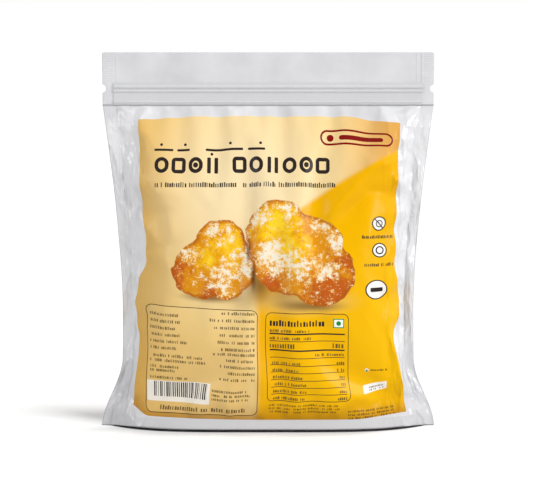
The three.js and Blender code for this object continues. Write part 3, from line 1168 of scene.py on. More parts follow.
@dataclass(frozen=True)
class PouchPrint:
    """The print of one face: a cream and yellow panel with two lumps, panels, bars and rows."""

    panel: Box = Box(-83.4, 7.6, 84.8, 195.4)
    panel_corner: float = 1.0
    ink: str = "#2f2623"
    small_ink: str = "#4d3a1c"
    small_strength: float = 0.85
    red: str = "#82120f"
    white: str = "#f4f1ec"
    # The cream field turns tan at the left and orange at the right, and is palest in its middle.
    tan: str = "#dcaf5c"
    side: Wash = Wash("#dc9a34", 32.0, 88.0, 0.85)
    side_turn: float = 20.0
    pale_middle: Point = (-14.0, 150.0)
    pale: Wash = Wash("#f1dcb2", 78.0, 5.0, 0.8)
    # The yellow field's edge starts at sweep_left at the foot and sweeps up to the right.
    sweep_left: float = -8.5
    sweep_width: float = 95.0
    sweep_foot: float = 112.0
    sweep_rise: float = 65.4
    sweep_power: float = 1.3
    yellow: Wash = Wash("#ecaf00", -2.5, 4.5)
    deep_yellow: Wash = Wash("#f2b800", 0.0, 26.0)
    deep_yellow_up: Span = (165.0, 60.0)
    low_tan: Wash = Wash("#dba645", 84.0, 50.0, 0.5)
    low_tan_over: Span = (2.0, -8.0)
    # Painted shade: the print darkens towards its foot, where the film turns under.
    foot_painted_shade: Wash = Wash("#a06c16", 21.0, 5.0, 0.8)
    emblem: Box = Box(33.2, 177.2, 80.0, 187.0)
    emblem_corner: float = 4.9
    emblem_line: float = 1.3
    emblem_bar: Box = Box(45.5, 180.3, 73.5, 183.3)
    emblem_bar_corner: float = 1.5
    emblem_spot: Spot = Spot((39.8, 181.8), 2.2)
    # Over the title: where each stroke starts and how long it is, and where the spots lie.
    strokes: tuple[Point, ...] = ((-72.4, 12.0), (-58.0, 8.0), (-40.0, 24.0), (-13.0, 11.0))
    strokes_z: Span = (173.4, 174.9)
    stroke_corner: float = 0.7
    dots: tuple[Point, ...] = (
        (-68.0, 177.6),
        (-53.0, 177.6),
        (-36.0, 171.6),
        (-24.0, 178.0),
        (-5.0, 177.8),
    )
    dot_radius: float = 0.9
    title: Box = Box(-71.9, 159.4, 41.2, 169.4)
    title_marks: tuple[tuple[Mark, ...], ...] = (
        (Mark.RING, Mark.FRAME, Mark.TARGET, Mark.BARS),
        (Mark.FRAME, Mark.RING, Mark.BARS, Mark.RING, Mark.TARGET, Mark.FRAME),
    )
    title_stroke: float = 2.3
    title_gap: float = 0.6  # between the groups, as a share of a mark's room
    mark_width: float = 0.83
    # How round each mark's corners are.
    mark_corners: tuple[tuple[Mark, float], ...] = (
        (Mark.RING, 4.6),
        (Mark.TARGET, 4.6),
        (Mark.FRAME, 2.6),
        (Mark.BARS, 0.6),
    )
    mark_spot: float = 1.6
    mark_bar_inset: float = 1.0
    subtitle: BlockRows = BlockRows(Box(-71.5, 150.8, 43.0, 156.4), 6.2, 1.35, 0.5, 5.0, gaps=0.16)
    # The film turns away under the badges, so a round spot is drawn wide.
    badge_squeeze: float = 0.78
    badges: tuple[Spot, ...] = (
        Spot((55.1, 128.8), 4.4),
        Spot((55.1, 112.6), 4.4),
        Spot((52.9, 88.7), 6.0),
    )
    badge_edge: float = 0.3  # how far the outline's middle lies inside the spot's edge
    badge_line: float = 0.7
    slash_half: float = 0.5
    slash_reach: float = 4.2
    slashed_ring: Spot = Spot((55.1, 128.8), 1.9)
    slashed_ring_line: float = 0.6
    plain_ring: Spot = Spot((55.1, 112.6), 2.1)
    plain_ring_line: float = 0.8
    badge_bar: Box = Box(49.5, 87.4, 56.3, 90.0)
    badge_bar_corner: float = 0.7
    captions: tuple[BlockRows, ...] = (
        BlockRows(Box(58.5, 119.7, 83.0, 122.3), 2.6, 1.3, 0.75, 119.7, gaps=0.14),
        BlockRows(Box(58.5, 102.8, 83.0, 105.4), 2.6, 1.3, 0.75, 102.8, gaps=0.14),
    )
    left_panel: Box = Box(-75.3, 10.0, -6.8, 76.5)
    left_panel_corner: float = 4.5
    left_panel_tint: str = "#f0d089"
    left_panel_strength: float = 0.4
    thin_line: float = 0.45
    left_rows: tuple[BlockRows, ...] = (
        BlockRows(Box(-73.0, 49.5, -50.0, 74.1), 4.1, 1.05, 0.46, 3.0, ragged=0.35, gaps=0.15),
        BlockRows(Box(-73.0, 41.7, -37.0, 47.7), 3.0, 1.05, 0.62, 9.0, ragged=0.12, gaps=0.15),
        BlockRows(Box(-72.8, 35.3, -52.0, 40.3), 2.5, 1.05, 0.7, 10.0, ragged=0.4, gaps=0.15),
        BlockRows(Box(-72.6, 30.7, -50.0, 33.2), 2.5, 1.05, 0.7, 11.0, gaps=0.15),
        BlockRows(Box(-37.5, 51.2, -9.0, 76.0), 4.4, 1.2, 0.42, 8.0, ragged=0.4, gaps=0.12, from_right=True),
        BlockRows(
            Box(-34.0, 32.4, -9.0, 50.6), 3.95, 1.2, 0.46, 14.0, ragged=0.35, gaps=0.12, from_right=True
        ),
        BlockRows(Box(-34.2, 19.3, -9.2, 27.4), 2.7, 1.05, 0.6, 13.0, ragged=0.2, gaps=0.15),
        BlockRows(Box(-66.0, 11.9, -13.4, 15.3), 3.4, 1.5, 0.75, 17.0, gaps=0.12),
    )
    bars_label: Box = Box(-74.4, 16.6, -35.6, 29.4)
    bars_label_corner: float = 0.4
    bars_label_white: str = "#f3ece0"
    bars_ink: str = "#221d1a"
    bars: Box = Box(-70.2, 19.4, -37.4, 28.9)
    bars_pitch: float = 1.25
    bars_thinnest: float = 0.2
    bars_spread: float = 0.55
    table: Box = Box(-1.4, 19.4, 49.9, 74.4)
    table_corner: float = 3.6
    table_heading: BlockRows = BlockRows(Box(1.4, 66.3, 35.6, 71.1), 4.8, 1.9, 0.75, 20.0, gaps=0.1)
    rules: Span = (1.4, 47.6)
    rule_corner: float = 0.1
    thick_rule_half: float = 0.45
    thick_rules_z: tuple[float, ...] = (61.7, 51.6)
    thin_rule_half: float = 0.2
    thin_rules_z: tuple[float, ...] = (57.3, 46.9, 42.2, 37.7, 33.0, 28.4, 24.0)
    table_rows: tuple[BlockRows, ...] = (
        BlockRows(Box(1.5, 62.6, 26.0, 65.0), 2.4, 1.0, 0.75, 21.0, gaps=0.15),
        BlockRows(Box(1.5, 58.1, 27.0, 60.5), 2.4, 1.0, 0.75, 22.0, gaps=0.15),
        BlockRows(Box(1.5, 52.9, 17.5, 56.5), 3.6, 1.6, 0.85, 23.0, gaps=0.04),
        BlockRows(Box(40.4, 52.9, 47.4, 56.5), 3.6, 1.75, 0.9, 24.0, gaps=0.02),
        BlockRows(Box(29.5, 47.9, 47.4, 50.3), 2.4, 1.05, 0.75, 25.0, gaps=0.15),
        BlockRows(Box(2.6, 20.4, 25.5, 46.6), 4.42, 1.05, 0.42, 26.0, ragged=0.45, gaps=0.12),
        BlockRows(Box(41.8, 20.4, 47.4, 46.6), 4.42, 1.2, 0.42, 27.0, ragged=0.4, gaps=0.1, from_right=True),
    )
    green_mark: Spot = Spot((43.75, 68.5), 1.4)
    green: str = "#178a3a"
    # The mark's frame and the white in it: half the width, half the height and the colour.
    green_frame: tuple[tuple[float, float, str], ...] = ((3.35, 2.9, "#3f8f52"), (2.75, 2.3, "#f3f7f0"))
    green_frame_corner: float = 0.3
    drops: tuple[tuple[Spot, str], ...] = (
        (Spot((61.0, 38.8), 1.2), "#f3eee6"),
        (Spot((61.0, 38.3), 0.7), "#2f8f6a"),
    )
    tag: Box = Box(58.6, 12.4, 73.2, 18.0)
    tag_corner: float = 0.8
    tag_white: str = "#f6f3ec"
    tag_lean: float = 0.18
    tag_rows: BlockRows = BlockRows(Box(62.5, 13.4, 71.5, 16.8), 1.7, 0.9, 0.6, 33.0)
    bottom_rows: tuple[BlockRows, ...] = (
        BlockRows(Box(63.4, 38.2, 74.2, 40.0), 1.8, 0.9, 0.75, 31.0, gaps=0.12),
        BlockRows(Box(0.3, 12.1, 44.5, 18.4), 2.1, 0.95, 0.62, 32.0, ragged=0.15, gaps=0.15),
        BlockRows(Box(48.5, 7.6, 80.0, 13.6), 2.1, 1.1, 0.6, 34.0, ragged=0.2, gaps=0.15),
        BlockRows(Box(-72.0, 8.2, -8.0, 9.5), 1.4, 0.95, 0.8, 35.0, gaps=0.15),
    )
    shadows: tuple[Shadow, ...] = (
        Shadow((20.0, 82.0), 44.0, 12.0, 0.9, "#dfba70"),
        Shadow((-4.0, 86.0), 62.0, 13.0, 0.35),
        Shadow((-36.0, 83.5), 24.0, 4.5, 0.85),
        Shadow((-5.5, 93.0), 11.0, 15.0, 0.85),
        Shadow((27.0, 79.0), 28.0, 5.0, 0.8),
    )
    crevices: tuple[Shadow, ...] = (
        Shadow((-12.6, 112.0), 2.2, 11.0, 0.75, "#5a2c10"),
        Shadow((-9.4, 97.0), 2.4, 12.0, 0.85, "#5a2c10"),
    )
    lumps: tuple[Lump, ...] = (
        Lump(
            (Spot((-30.0, 114.3), 16.6), Spot((-42.4, 99.6), 16.9), Spot((-27.0, 101.2), 18.7)),
            (Spot((-26.5, 114.0), 9.0), Spot((-38.0, 108.0), 5.0)),
            (Spot((-56.0, 99.0), 7.0), Spot((-15.5, 124.0), 5.0), Spot((-36.0, 83.0), 6.0)),
            (
                Spot((-34.0, 126.5), 4.0),
                Spot((-26.0, 121.0), 3.5),
                Spot((-49.4, 110.7), 3.5),
                Spot((-18.0, 103.5), 7.5),
                Spot((-30.0, 94.5), 7.5),
            ),
            4.0,
        ),
        Lump(
            (
                Spot((6.3, 122.6), 19.8),
                Spot((32.6, 99.6), 21.2),
                Spot((12.1, 107.5), 21.9),
                Spot((27.4, 113.8), 19.6),
            ),
            (Spot((4.5, 127.0), 13.0), Spot((14.0, 114.0), 10.0)),
            (Spot((40.0, 88.0), 14.0), Spot((2.0, 90.5), 7.0), Spot((48.0, 106.0), 5.0)),
            (
                Spot((14.0, 137.0), 5.0),
                Spot((-5.0, 134.0), 4.5),
                Spot((34.0, 127.3), 4.0),
                Spot((43.0, 117.0), 4.0),
                Spot((2.5, 108.5), 8.5),
                Spot((20.0, 103.9), 8.0),
                Spot((37.1, 101.2), 5.0),
            ),
            31.0,
        ),
    )

    def panel_mask(self, painter: Painter) -> Socket:
        """Where the printed panel lies."""
        return painter.box(self.panel, self.panel_corner)

    def paint(self, painter: Painter, plate: Plate) -> None:
        """Paints the fields, and over them what a plate holds."""
        self._paint_fields(painter)
        self._paint_shadows(painter, self.shadows)
        if plate is Plate.UPPER:
            for lump in self.lumps:
                lump.paint(painter)
            self._paint_shadows(painter, self.crevices)
            self._paint_titles(painter)
            self._paint_badges(painter)
        elif plate is Plate.LOWER_LEFT:
            self._paint_left_panel(painter)
        else:
            self._paint_table(painter)
            self._paint_small_things(painter)

    def _paint_fields(self, p: Painter) -> None:
        """Cream over the upper left, a yellow field that sweeps up to the right, and painted shade along the
        foot.
        """
        side = replace(p, colour=linear(self.tan))
        side.lay(p.ramp(p.across, -self.side_turn, self.side_turn), self.side.colour)
        spread = p.node(MATH, p.across, operation="ABSOLUTE")
        p.lay(p.fade(spread, self.side.start, self.side.end), side.colour, self.side.strength)
        p.wash(p.away(self.pale_middle), self.pale)
        climb = p.node(MATH, p.up, -self.sweep_foot, operation="ADD")
        climb = p.node(MATH, climb, 1 / self.sweep_rise, operation="MULTIPLY")
        climb = p.node(MATH, climb, 0.0, operation="MAXIMUM")
        climb = p.node(MATH, climb, self.sweep_power, operation="POWER")
        edge = p.node(MATH, climb, self.sweep_width, self.sweep_left, operation="MULTIPLY_ADD")
        over = p.node(MATH, p.across, edge, operation="SUBTRACT")
        p.wash(over, self.yellow)
        p.wash(over, self.deep_yellow, p.fade(p.up, *self.deep_yellow_up))
        p.wash(p.up, self.low_tan, p.fade(over, *self.low_tan_over))
        p.wash(p.up, self.foot_painted_shade)

    def _paint_shadows(self, p: Painter, shadows: tuple[Shadow, ...]) -> None:
        """Soft shadows under the two lumps or where they meet."""
        for shadow in shadows:
            off = p.node(VECTOR, p.at, (*shadow.centre, 0.0), operation="SUBTRACT")
            scale = (1 / shadow.half_width, 1 / shadow.half_height, 0.0)
            off = p.node(VECTOR, off, scale, operation="MULTIPLY")
            reach = p.node(VECTOR, off, out="Value", operation="LENGTH")
            p.wash(reach, Wash(shadow.colour, 1.0, shadow.core, shadow.strength))

    def _paint_titles(self, p: Painter) -> None:
        """A plain emblem, an ornament for a title and rows of bars over and under it."""
        p.lay(p.outline(self.emblem, self.emblem_corner, self.emblem_line), self.red)
        p.lay(p.box(self.emblem_bar, self.emblem_bar_corner), self.red)
        p.lay(p.disc(self.emblem_spot.centre, self.emblem_spot.reach), self.red)
        for x, length in self.strokes:
            stroke = Box(x, self.strokes_z[0], x + length, self.strokes_z[1])
            p.lay(p.box(stroke, self.stroke_corner), self.ink)
        for dot in self.dots:
            p.lay(p.disc(dot, self.dot_radius), self.ink)
        self._paint_title_marks(p)
        p.lay(p.rows_of_blocks(self.subtitle), self.ink)

    def _paint_title_marks(self, p: Painter) -> None:
        """The plain shapes of the title's ornament, set along its box."""
        box, stroke = self.title, self.title_stroke
        count = sum(len(group) for group in self.title_marks)
        pitch = (box.right - box.left) / (count + self.title_gap * (len(self.title_marks) - 1))
        left, inset = box.left, self.mark_bar_inset
        corners = dict(self.mark_corners)
        for group in self.title_marks:
            for mark in group:
                place = Box(left, box.bottom, left + self.mark_width * pitch, box.top)
                if mark is Mark.BARS:
                    for edge in (place.left + inset, place.right - inset - stroke):
                        bar = Box(edge, box.bottom, edge + stroke, box.top)
                        p.lay(p.box(bar, corners[mark]), self.ink)
                else:
                    p.lay(p.outline(place, corners[mark], stroke), self.ink)
                if mark is Mark.TARGET:
                    p.lay(p.disc(place.centre[:2], self.mark_spot), self.ink)
                left += pitch
            left += self.title_gap * pitch

    def _paint_badges(self, p: Painter) -> None:
        """Three round badges down the right with plain marks in them, and a short row under two."""
        at = p.node(VECTOR, p.at, (self.badge_squeeze, 1.0, 1.0), operation="MULTIPLY")
        across = p.node(MATH, p.across, self.badge_squeeze, operation="MULTIPLY")
        b = replace(p, at=at, across=across)
        for badge in self.badges:
            b.lay(b.disc(badge.centre, badge.reach), self.white)
            b.lay(b.ring(badge.centre, badge.reach - self.badge_edge, self.badge_line), self.ink)
        first, second = self.slashed_ring, self.plain_ring
        slash = b.node(MATH, across, p.up, operation="ADD")
        slash = b.node(MATH, slash, sum(first.centre), self.slash_half, operation="COMPARE")
        b.lay(b.both(slash, b.disc(first.centre, self.slash_reach)), self.ink)
        b.lay(b.ring(first.centre, first.reach, self.slashed_ring_line), self.ink)
        b.lay(b.ring(second.centre, second.reach, self.plain_ring_line), self.ink)
        b.lay(b.box(self.badge_bar, self.badge_bar_corner), self.ink)
        p.colour = b.colour
        for rows in self.captions:
            p.lay(p.rows_of_blocks(rows), self.ink)

    def _paint_rows(self, p: Painter, several: tuple[BlockRows, ...], ink: str) -> None:
        """Rows of blocks in a thin ink."""
        for rows in several:
            p.lay(p.rows_of_blocks(rows), ink, self.small_strength)

    def _paint_left_panel(self, p: Painter) -> None:
        """A thin outlined panel with two columns of small rows, and a white box with upright bars."""
        panel = p.box(self.left_panel, self.left_panel_corner)
        p.lay(panel, self.left_panel_tint, self.left_panel_strength)
        p.lay(p.outline(self.left_panel, self.left_panel_corner, self.thin_line), self.small_ink)
        self._paint_rows(p, self.left_rows, self.small_ink)
        p.lay(p.box(self.bars_label, self.bars_label_corner), self.bars_label_white)
        bars = p.node(MATH, p.across, 1 / self.bars_pitch, operation="MULTIPLY")
        width = p.node(MATH, bars, operation="FLOOR")
        width = p.node(WHITE_NOISE, named={"W": width}, noise_dimensions="1D", out="Color")
        width = p.part(width, 0, self.bars_spread)
        width = p.node(MATH, width, self.bars_thinnest, operation="ADD")
        bars = p.node(MATH, p.node(MATH, bars, operation="FRACT"), width, operation="LESS_THAN")
        p.lay(p.both(bars, p.box(self.bars)), self.bars_ink)

    def _paint_table(self, p: Painter) -> None:
        """A ruled table in a thin outline: a heading, two thick rules and rows in two columns."""
        p.lay(p.outline(self.table, self.table_corner, self.thin_line), self.small_ink)
        p.lay(p.rows_of_blocks(self.table_heading), self.ink)
        left, right = self.rules
        thick = (self.thick_rules_z, self.thick_rule_half)
        for heights, half in (thick, (self.thin_rules_z, self.thin_rule_half)):
            for z in heights:
                rule = Box(left, z - half, right, z + half)
                p.lay(p.box(rule, self.rule_corner), self.ink)
        self._paint_rows(p, self.table_rows, self.ink)
        (x, z), spot = self.green_mark.centre, self.green_mark.reach
        for half_width, half_height, colour in self.green_frame:
            frame = Box(x - half_width, z - half_height, x + half_width, z + half_height)
            p.lay(p.box(frame, self.green_frame_corner), colour)
        p.lay(p.disc((x, z), spot), self.green)

    def _paint_small_things(self, p: Painter) -> None:
        """A white tag, a spot with a short row, and rows of the smallest size along the bottom."""
        for drop, colour in self.drops:
            p.lay(p.disc(drop.centre, drop.reach), colour)
        lean = p.node(MATH, p.across, self.tag_lean, operation="MULTIPLY")
        lean = p.node(MATH, p.up, lean, operation="SUBTRACT")
        leaning = p.node("ShaderNodeCombineXYZ", p.across, lean)
        tag = replace(p, at=leaning, up=lean)
        tag.lay(tag.box(self.tag, self.tag_corner), self.tag_white)
        tag.lay(tag.rows_of_blocks(self.tag_rows), self.small_ink)
        p.colour = tag.colour
        self._paint_rows(p, self.bottom_rows, self.small_ink)


# ------------------------------------------------------------------------------- the finishes


@dataclass(frozen=True)
class LaminateFilm:
    """Polyester and polyethylene laminate, cast and printed from behind.

    The clear outer ply keeps a smooth gloss over pearl-white film and ink alike. It shows the fine
    ripples of casting, the draw lines of the header and the ribs that the sealing bars press in.
    """

    name: str
    form: PouchForm
    plate: Plate | None = None
    printed: PouchPrint = field(default_factory=PouchPrint)
    pearl: str = "#dcdcde"
    cloud: str = "#cfcfd2"
    cloud_size: float = 22.2222
    cloud_range: Span = (0.35, 0.7)
    cloud_detail: float = 3.0
    weld: str = "#a2a2a7"
    weld_width: float = 0.9
    # Painted light: the bare film beside the print is lighter, to stand in for its bright sheen.
    flank_painted_light: str = "#e4e4e6"
    flank_from: float = 66.0
    flank_to: float = 88.0
    flank_under_zip: Span = (-2.0, -14.0)
    # Painted shade: the film greys towards the foot, to stand in for the shade on the lower corners.
    corners: str = "#cfcfd2"
    corner_shade_up: Span = (52.0, 15.0)
    # Painted shade: the base's rim band is greyer, to stand in for how it is lit.
    rim_painted_shade: str = "#d0d0d2"
    rim_painted_shade_over: Span = (1.0, -2.0)
    cream: str = "#efd294"
    roughness: float = 0.32
    specular: float = 0.07
    ior: float = 1.5
    coat: float = 0.6
    coat_on_print: float = 0.07
    coat_roughness: float = 0.07
    # Sizes and heights of all that stands out of the film are in millimetres.
    ripple_size: float = 11.0
    ripple_height: float = 0.16
    ripple_detail: float = 2.0
    ripple_roughness: float = 0.45
    crinkle_size: tuple[float, float, float] = (11.0, 26.0, 1.0)
    crinkle_stir: float = 0.7
    crinkle_stir_scale: float = 1.6
    crinkle_stir_detail: float = 2.0
    crinkle_height: float = 4.1
    header_over_zip: Span = (12.0, 16.0)
    # Real draw lines and seal streaks are finer; these are as coarse as they need to be to show.
    draw_pitch: float = 1.3
    draw_length: float = 66.667
    draw_height: float = 0.09
    draw_detail: float = 3.0
    draw_roughness: float = 0.7
    seal_pitch: float = 1.5
    seal_height: float = 0.05
    seal_step: float = 0.8
    streak_pitch: float = 0.8
    streak_length: float = 50.0
    streak_share: float = 2.2
    streak_detail: float = 2.0
    streak_roughness: float = 0.5
    seam_lines: tuple[float, ...] = (-94.5, 92.9, 96.1)
    seam_width: float = 1.0
    seam_height: float = 0.16
    seam_start: float = 0.5  # the seams come in over this height above the zip's weld
    groove_under_zip: float = 0.4
    groove_width: float = 1.0
    groove_depth: float = 0.25

    def make(self) -> bpy.types.Material:
        """Makes the material."""
        material, shader = new_material(self.name)
        tree = material.node_tree
        shader.inputs["Roughness"].default_value = self.roughness
        shader.inputs["Coat Weight"].default_value = self.coat
        shader.inputs["Coat Roughness"].default_value = self.coat_roughness
        shader.inputs["IOR"].default_value = self.ior
        shader.inputs["Specular IOR Level"].default_value = self.specular
        colour, relief = self._pearl(tree), self._ripples(tree)
        if self.plate is not None:
            film = self._on_map(tree, "film_mm", colour)
            flank = self._flank(film)
            relief = self._pressed(film, relief, flank)
            self._tint(film, flank)
            colour, where = self._print_over(tree, film.colour)
            # The print has a satin lacquer over it, the bare film only its own gloss.
            named = {3: self.coat, 4: self.coat_on_print}
            coat = add_node(tree, RANGE, where, named=named)
            tree.links.new(coat, shader.inputs["Coat Weight"])
        normal = add_node(tree, "ShaderNodeBump", named={"Distance": MM, "Height": relief})
        tree.links.new(colour, shader.inputs["Base Color"])
        tree.links.new(normal, shader.inputs["Normal"])
        tree.links.new(normal, shader.inputs["Coat Normal"])
        return material

    def _on_map(self, tree: bpy.types.NodeTree, name: str, colour: Socket) -> Painter:
        """A painter that works by one of the film's own maps."""
        place = add_node(tree, "ShaderNodeAttribute", out="Vector", attribute_name=name)
        across, up = (add_node(tree, SEPARATE, place, out=axis) for axis in "XY")
        return Painter(tree, place, across, up, colour)

    def _pearl(self, tree: bpy.types.NodeTree) -> Socket:
        """The film's own colour: pearl white with faint cloudiness."""
        place = add_node(tree, "ShaderNodeTexCoord", out="Object")
        named = {"Scale": 1 / (self.cloud_size * MM), "Detail": self.cloud_detail}
        clouds = add_node(tree, NOISE, place, named=named)
        clouds = add_node(tree, RANGE, clouds, named=dict(enumerate(self.cloud_range, start=1)))
        named = {MIX_UNDER: linear(self.pearl), MIX_OVER: linear(self.cloud)}
        return add_node(tree, MIX, clouds, named=named, out=MIX_RESULT, data_type="RGBA")

    def _flank(self, film: Painter) -> Socket:
        """A mask of the bare film beside the print, under the zip."""
        outward = film.node(MATH, film.across, operation="ABSOLUTE")
        high, low = (self.form.flat_zip + off for off in self.flank_under_zip)
        return film.both(film.fade(outward, self.flank_from, self.flank_to), film.ramp(film.up, high, low))

    def _tint(self, film: Painter, flank: Socket) -> None:
        """Darkens the zip's weld, and paints light and shade into the bare film: lighter flanks, a greyer
        foot and a greyer rim band.
        """
        groove = self.form.flat_zip - self.groove_under_zip
        film.lay(film.line(film.up, groove, self.weld_width), self.weld)
        # Painted light: lighter bare flanks.
        film.lay(flank, self.flank_painted_light)
        # Painted shade: greyer film towards the foot.
        film.lay(film.ramp(film.up, *self.corner_shade_up), self.corners)
        # Painted shade: greyer rim band.
        film.lay(film.ramp(film.up, *(self.form.rim + off for off in self.rim_painted_shade_over)), self.rim_painted_shade)

    def _print_over(self, tree: bpy.types.NodeTree, film: Socket) -> tuple[Socket, Socket]:
        """Lays the printed panel over the film on the two faces.

        Returns:
            The colour, and a mask of the panel.
        """
        whole = self._on_map(tree, "print_mm", film)
        flat = whole.node("ShaderNodeCombineXYZ", whole.across, whole.up)
        painter = replace(whole, at=flat)
        panel = self.printed.panel_mask(painter)
        painter.lay(panel, self.cream)
        self.printed.paint(painter, self.plate)
        on_face = whole.node(SEPARATE, whole.at, out="Z")
        on_face = whole.node(MATH, on_face, operation="ABSOLUTE")
        on_face = whole.node(MATH, on_face, 1 - NEAR, operation="GREATER_THAN")
        where = painter.both(panel, on_face)
        whole.lay(where, painter.colour)
        return whole.colour, where

    def _ripples(self, tree: bpy.types.NodeTree) -> Socket:
        """Heights in millimetres of the shallow ripples all over the film."""
        place = add_node(tree, "ShaderNodeTexCoord", out="Object")
        named = {"Scale": 1 / (self.ripple_size * MM), "Detail": self.ripple_detail}
        ripple = add_node(tree, NOISE, place, named={**named, "Roughness": self.ripple_roughness})
        return add_node(tree, MATH, ripple, self.ripple_height, operation="MULTIPLY")

    def _pressed(self, film: Painter, relief: Socket, flank: Socket) -> Socket:
        """Adds the crinkles beside the print and all that the bag machine presses into the film."""
        zip_z = self.form.flat_zip
        header = film.ramp(film.up, *(zip_z + off for off in self.header_over_zip))
        over_zip = film.ramp(film.up, zip_z, zip_z + self.seam_start)
        pressed = [
            (film.both(self._draw_lines(film), header), self.draw_height),
            (film.both(self._crinkles(film), flank), self.crinkle_height),
            (self._seal_ribs(film, header), self.seal_height),
        ]
        for at in self.seam_lines:
            seam = film.line(film.across, at, self.seam_width)
            pressed.append((film.both(seam, over_zip), self.seam_height))
        groove = film.line(film.up, zip_z - self.groove_under_zip, self.groove_width)
        for mask, height in [*pressed, (groove, -self.groove_depth)]:
            relief = film.node(MATH, mask, height, relief, operation="MULTIPLY_ADD")
        return relief

    def _streaks(self, film: Painter, pitch: Point, detail: float, roughness: float) -> Socket:
        """Noise drawn out across or up the film; its pitch is how far it repeats each way."""
        drawn = film.node(VECTOR, film.at, (1 / pitch[0], 1 / pitch[1], 1.0), operation="MULTIPLY")
        named = {"Scale": 1.0, "Detail": detail, "Roughness": roughness}
        return film.node(NOISE, drawn, named=named)

    def _draw_lines(self, film: Painter) -> Socket:
        """The fine level lines that the film is drawn with."""
        pitch = (self.draw_length, self.draw_pitch)
        return self._streaks(film, pitch, self.draw_detail, self.draw_roughness)

    def _crinkles(self, film: Painter) -> Socket:
        """Facets that meet in sharp folds, taller than wide."""
        fold = film.node(VECTOR, film.at, self.crinkle_size, operation="DIVIDE")
        named = {"Scale": self.crinkle_stir_scale, "Detail": self.crinkle_stir_detail}
        stir = film.node(NOISE, fold, named=named, out="Color")
        stir = film.node(VECTOR, stir, (self.crinkle_stir,) * 3, operation="MULTIPLY")
        fold = film.node(VECTOR, fold, stir, operation="ADD")
        return film.node(VORONOI, fold, named={"Scale": 1.0}, out="Distance", feature="F1")

    def _seal_ribs(self, film: Painter, header: Socket) -> Socket:
        """The side seals' upright streaks, with level ribs where they cross the header."""
        seam = self.form.flat_seam
        outward = film.node(MATH, film.across, operation="ABSOLUTE")
        rib = film.node(MATH, film.up, 2 * math.pi / self.seal_pitch, operation="MULTIPLY")
        rib = film.both(film.node(MATH, rib, operation="SINE"), header)
        pitch = (self.streak_pitch, self.streak_length)
        streak = self._streaks(film, pitch, self.streak_detail, self.streak_roughness)
        rib = film.node(MATH, streak, self.streak_share, rib, operation="MULTIPLY_ADD")
        return film.both(rib, film.ramp(outward, seam, seam + self.seal_step))


@dataclass(frozen=True)
class PaperFloor:
    """Matt white paper under the pouch; it throws a little less light back than it shows."""

    name: str = "white_paper_floor"
    seen: str = "#b9b9b9"
    thrown: str = "#9a9a9a"
    roughness: float = 0.9
    specular: float = 0.2

    def make(self) -> bpy.types.Material:
        """Makes the material."""
        material, shader = new_material(self.name)
        tree = material.node_tree
        shader.inputs["Roughness"].default_value = self.roughness
        shader.inputs["Specular IOR Level"].default_value = self.specular
        seen = add_node(tree, "ShaderNodeLightPath", out="Is Camera Ray")
        named = {MIX_UNDER: linear(self.thrown), MIX_OVER: linear(self.seen)}
        colour = add_node(tree, MIX, seen, named=named, out=MIX_RESULT, data_type="RGBA")
        tree.links.new(colour, shader.inputs["Base Color"])
        return material


# ------------------------------------------------------------------------------- the studio


@dataclass(frozen=True)
class SoftLight:
    """A rectangular soft light, in metres and watts, that faces a point of the pouch."""

    name: str
    place: tuple[float, float, float]
    size: float
    power: float
    tall: float = 1.0
    target: tuple[float, float, float] = (0.0, 0.0, 0.11)

    def build(self, lit: bpy.types.Collection) -> None:
        """Hangs the light, which falls on a collection only."""
        lamp = bpy.data.lights.new(self.name, "AREA")
        lamp.shape = "RECTANGLE"
        lamp.size = self.size
        lamp.size_y = self.size * self.tall
        lamp.energy = self.power
        light = aim_at(self.name, lamp, self.place, self.target)
        light.light_linking.receiver_collection = lit


@dataclass(frozen=True)
class FloorLight:
    """Even light from far off that keeps the paper floor white, and falls on nothing else."""

    name: str
    place: tuple[float, float, float]
    strength: float
    softness: float

    def build(self, lit: bpy.types.Collection) -> None:
        """Hangs the light, which falls on a collection only."""
        lamp = bpy.data.lights.new(self.name, "SUN")
        lamp.energy = self.strength
        lamp.angle = self.softness
        light = aim_at(self.name, lamp, self.place, (0.0, 0.0, 0.0))
        light.light_linking.receiver_collection = lit


def collect(name: str, pieces: list[bpy.types.Object]) -> bpy.types.Collection:
    """Gathers pieces that a light falls on."""
    collection = bpy.data.collections.new(name)
    for piece in pieces:
        collection.objects.link(piece)
    return collection


def aim_at(name: str, data: bpy.types.ID, place: tuple, target: tuple) -> bpy.types.Object:
    """Puts a lamp or a camera at a place, facing a point."""
    thing = place_object(name, data)
    thing.location = place
    thing.rotation_euler = (Vector(target) - Vector(place)).to_track_quat("-Z", "Y").to_euler()
    return thing


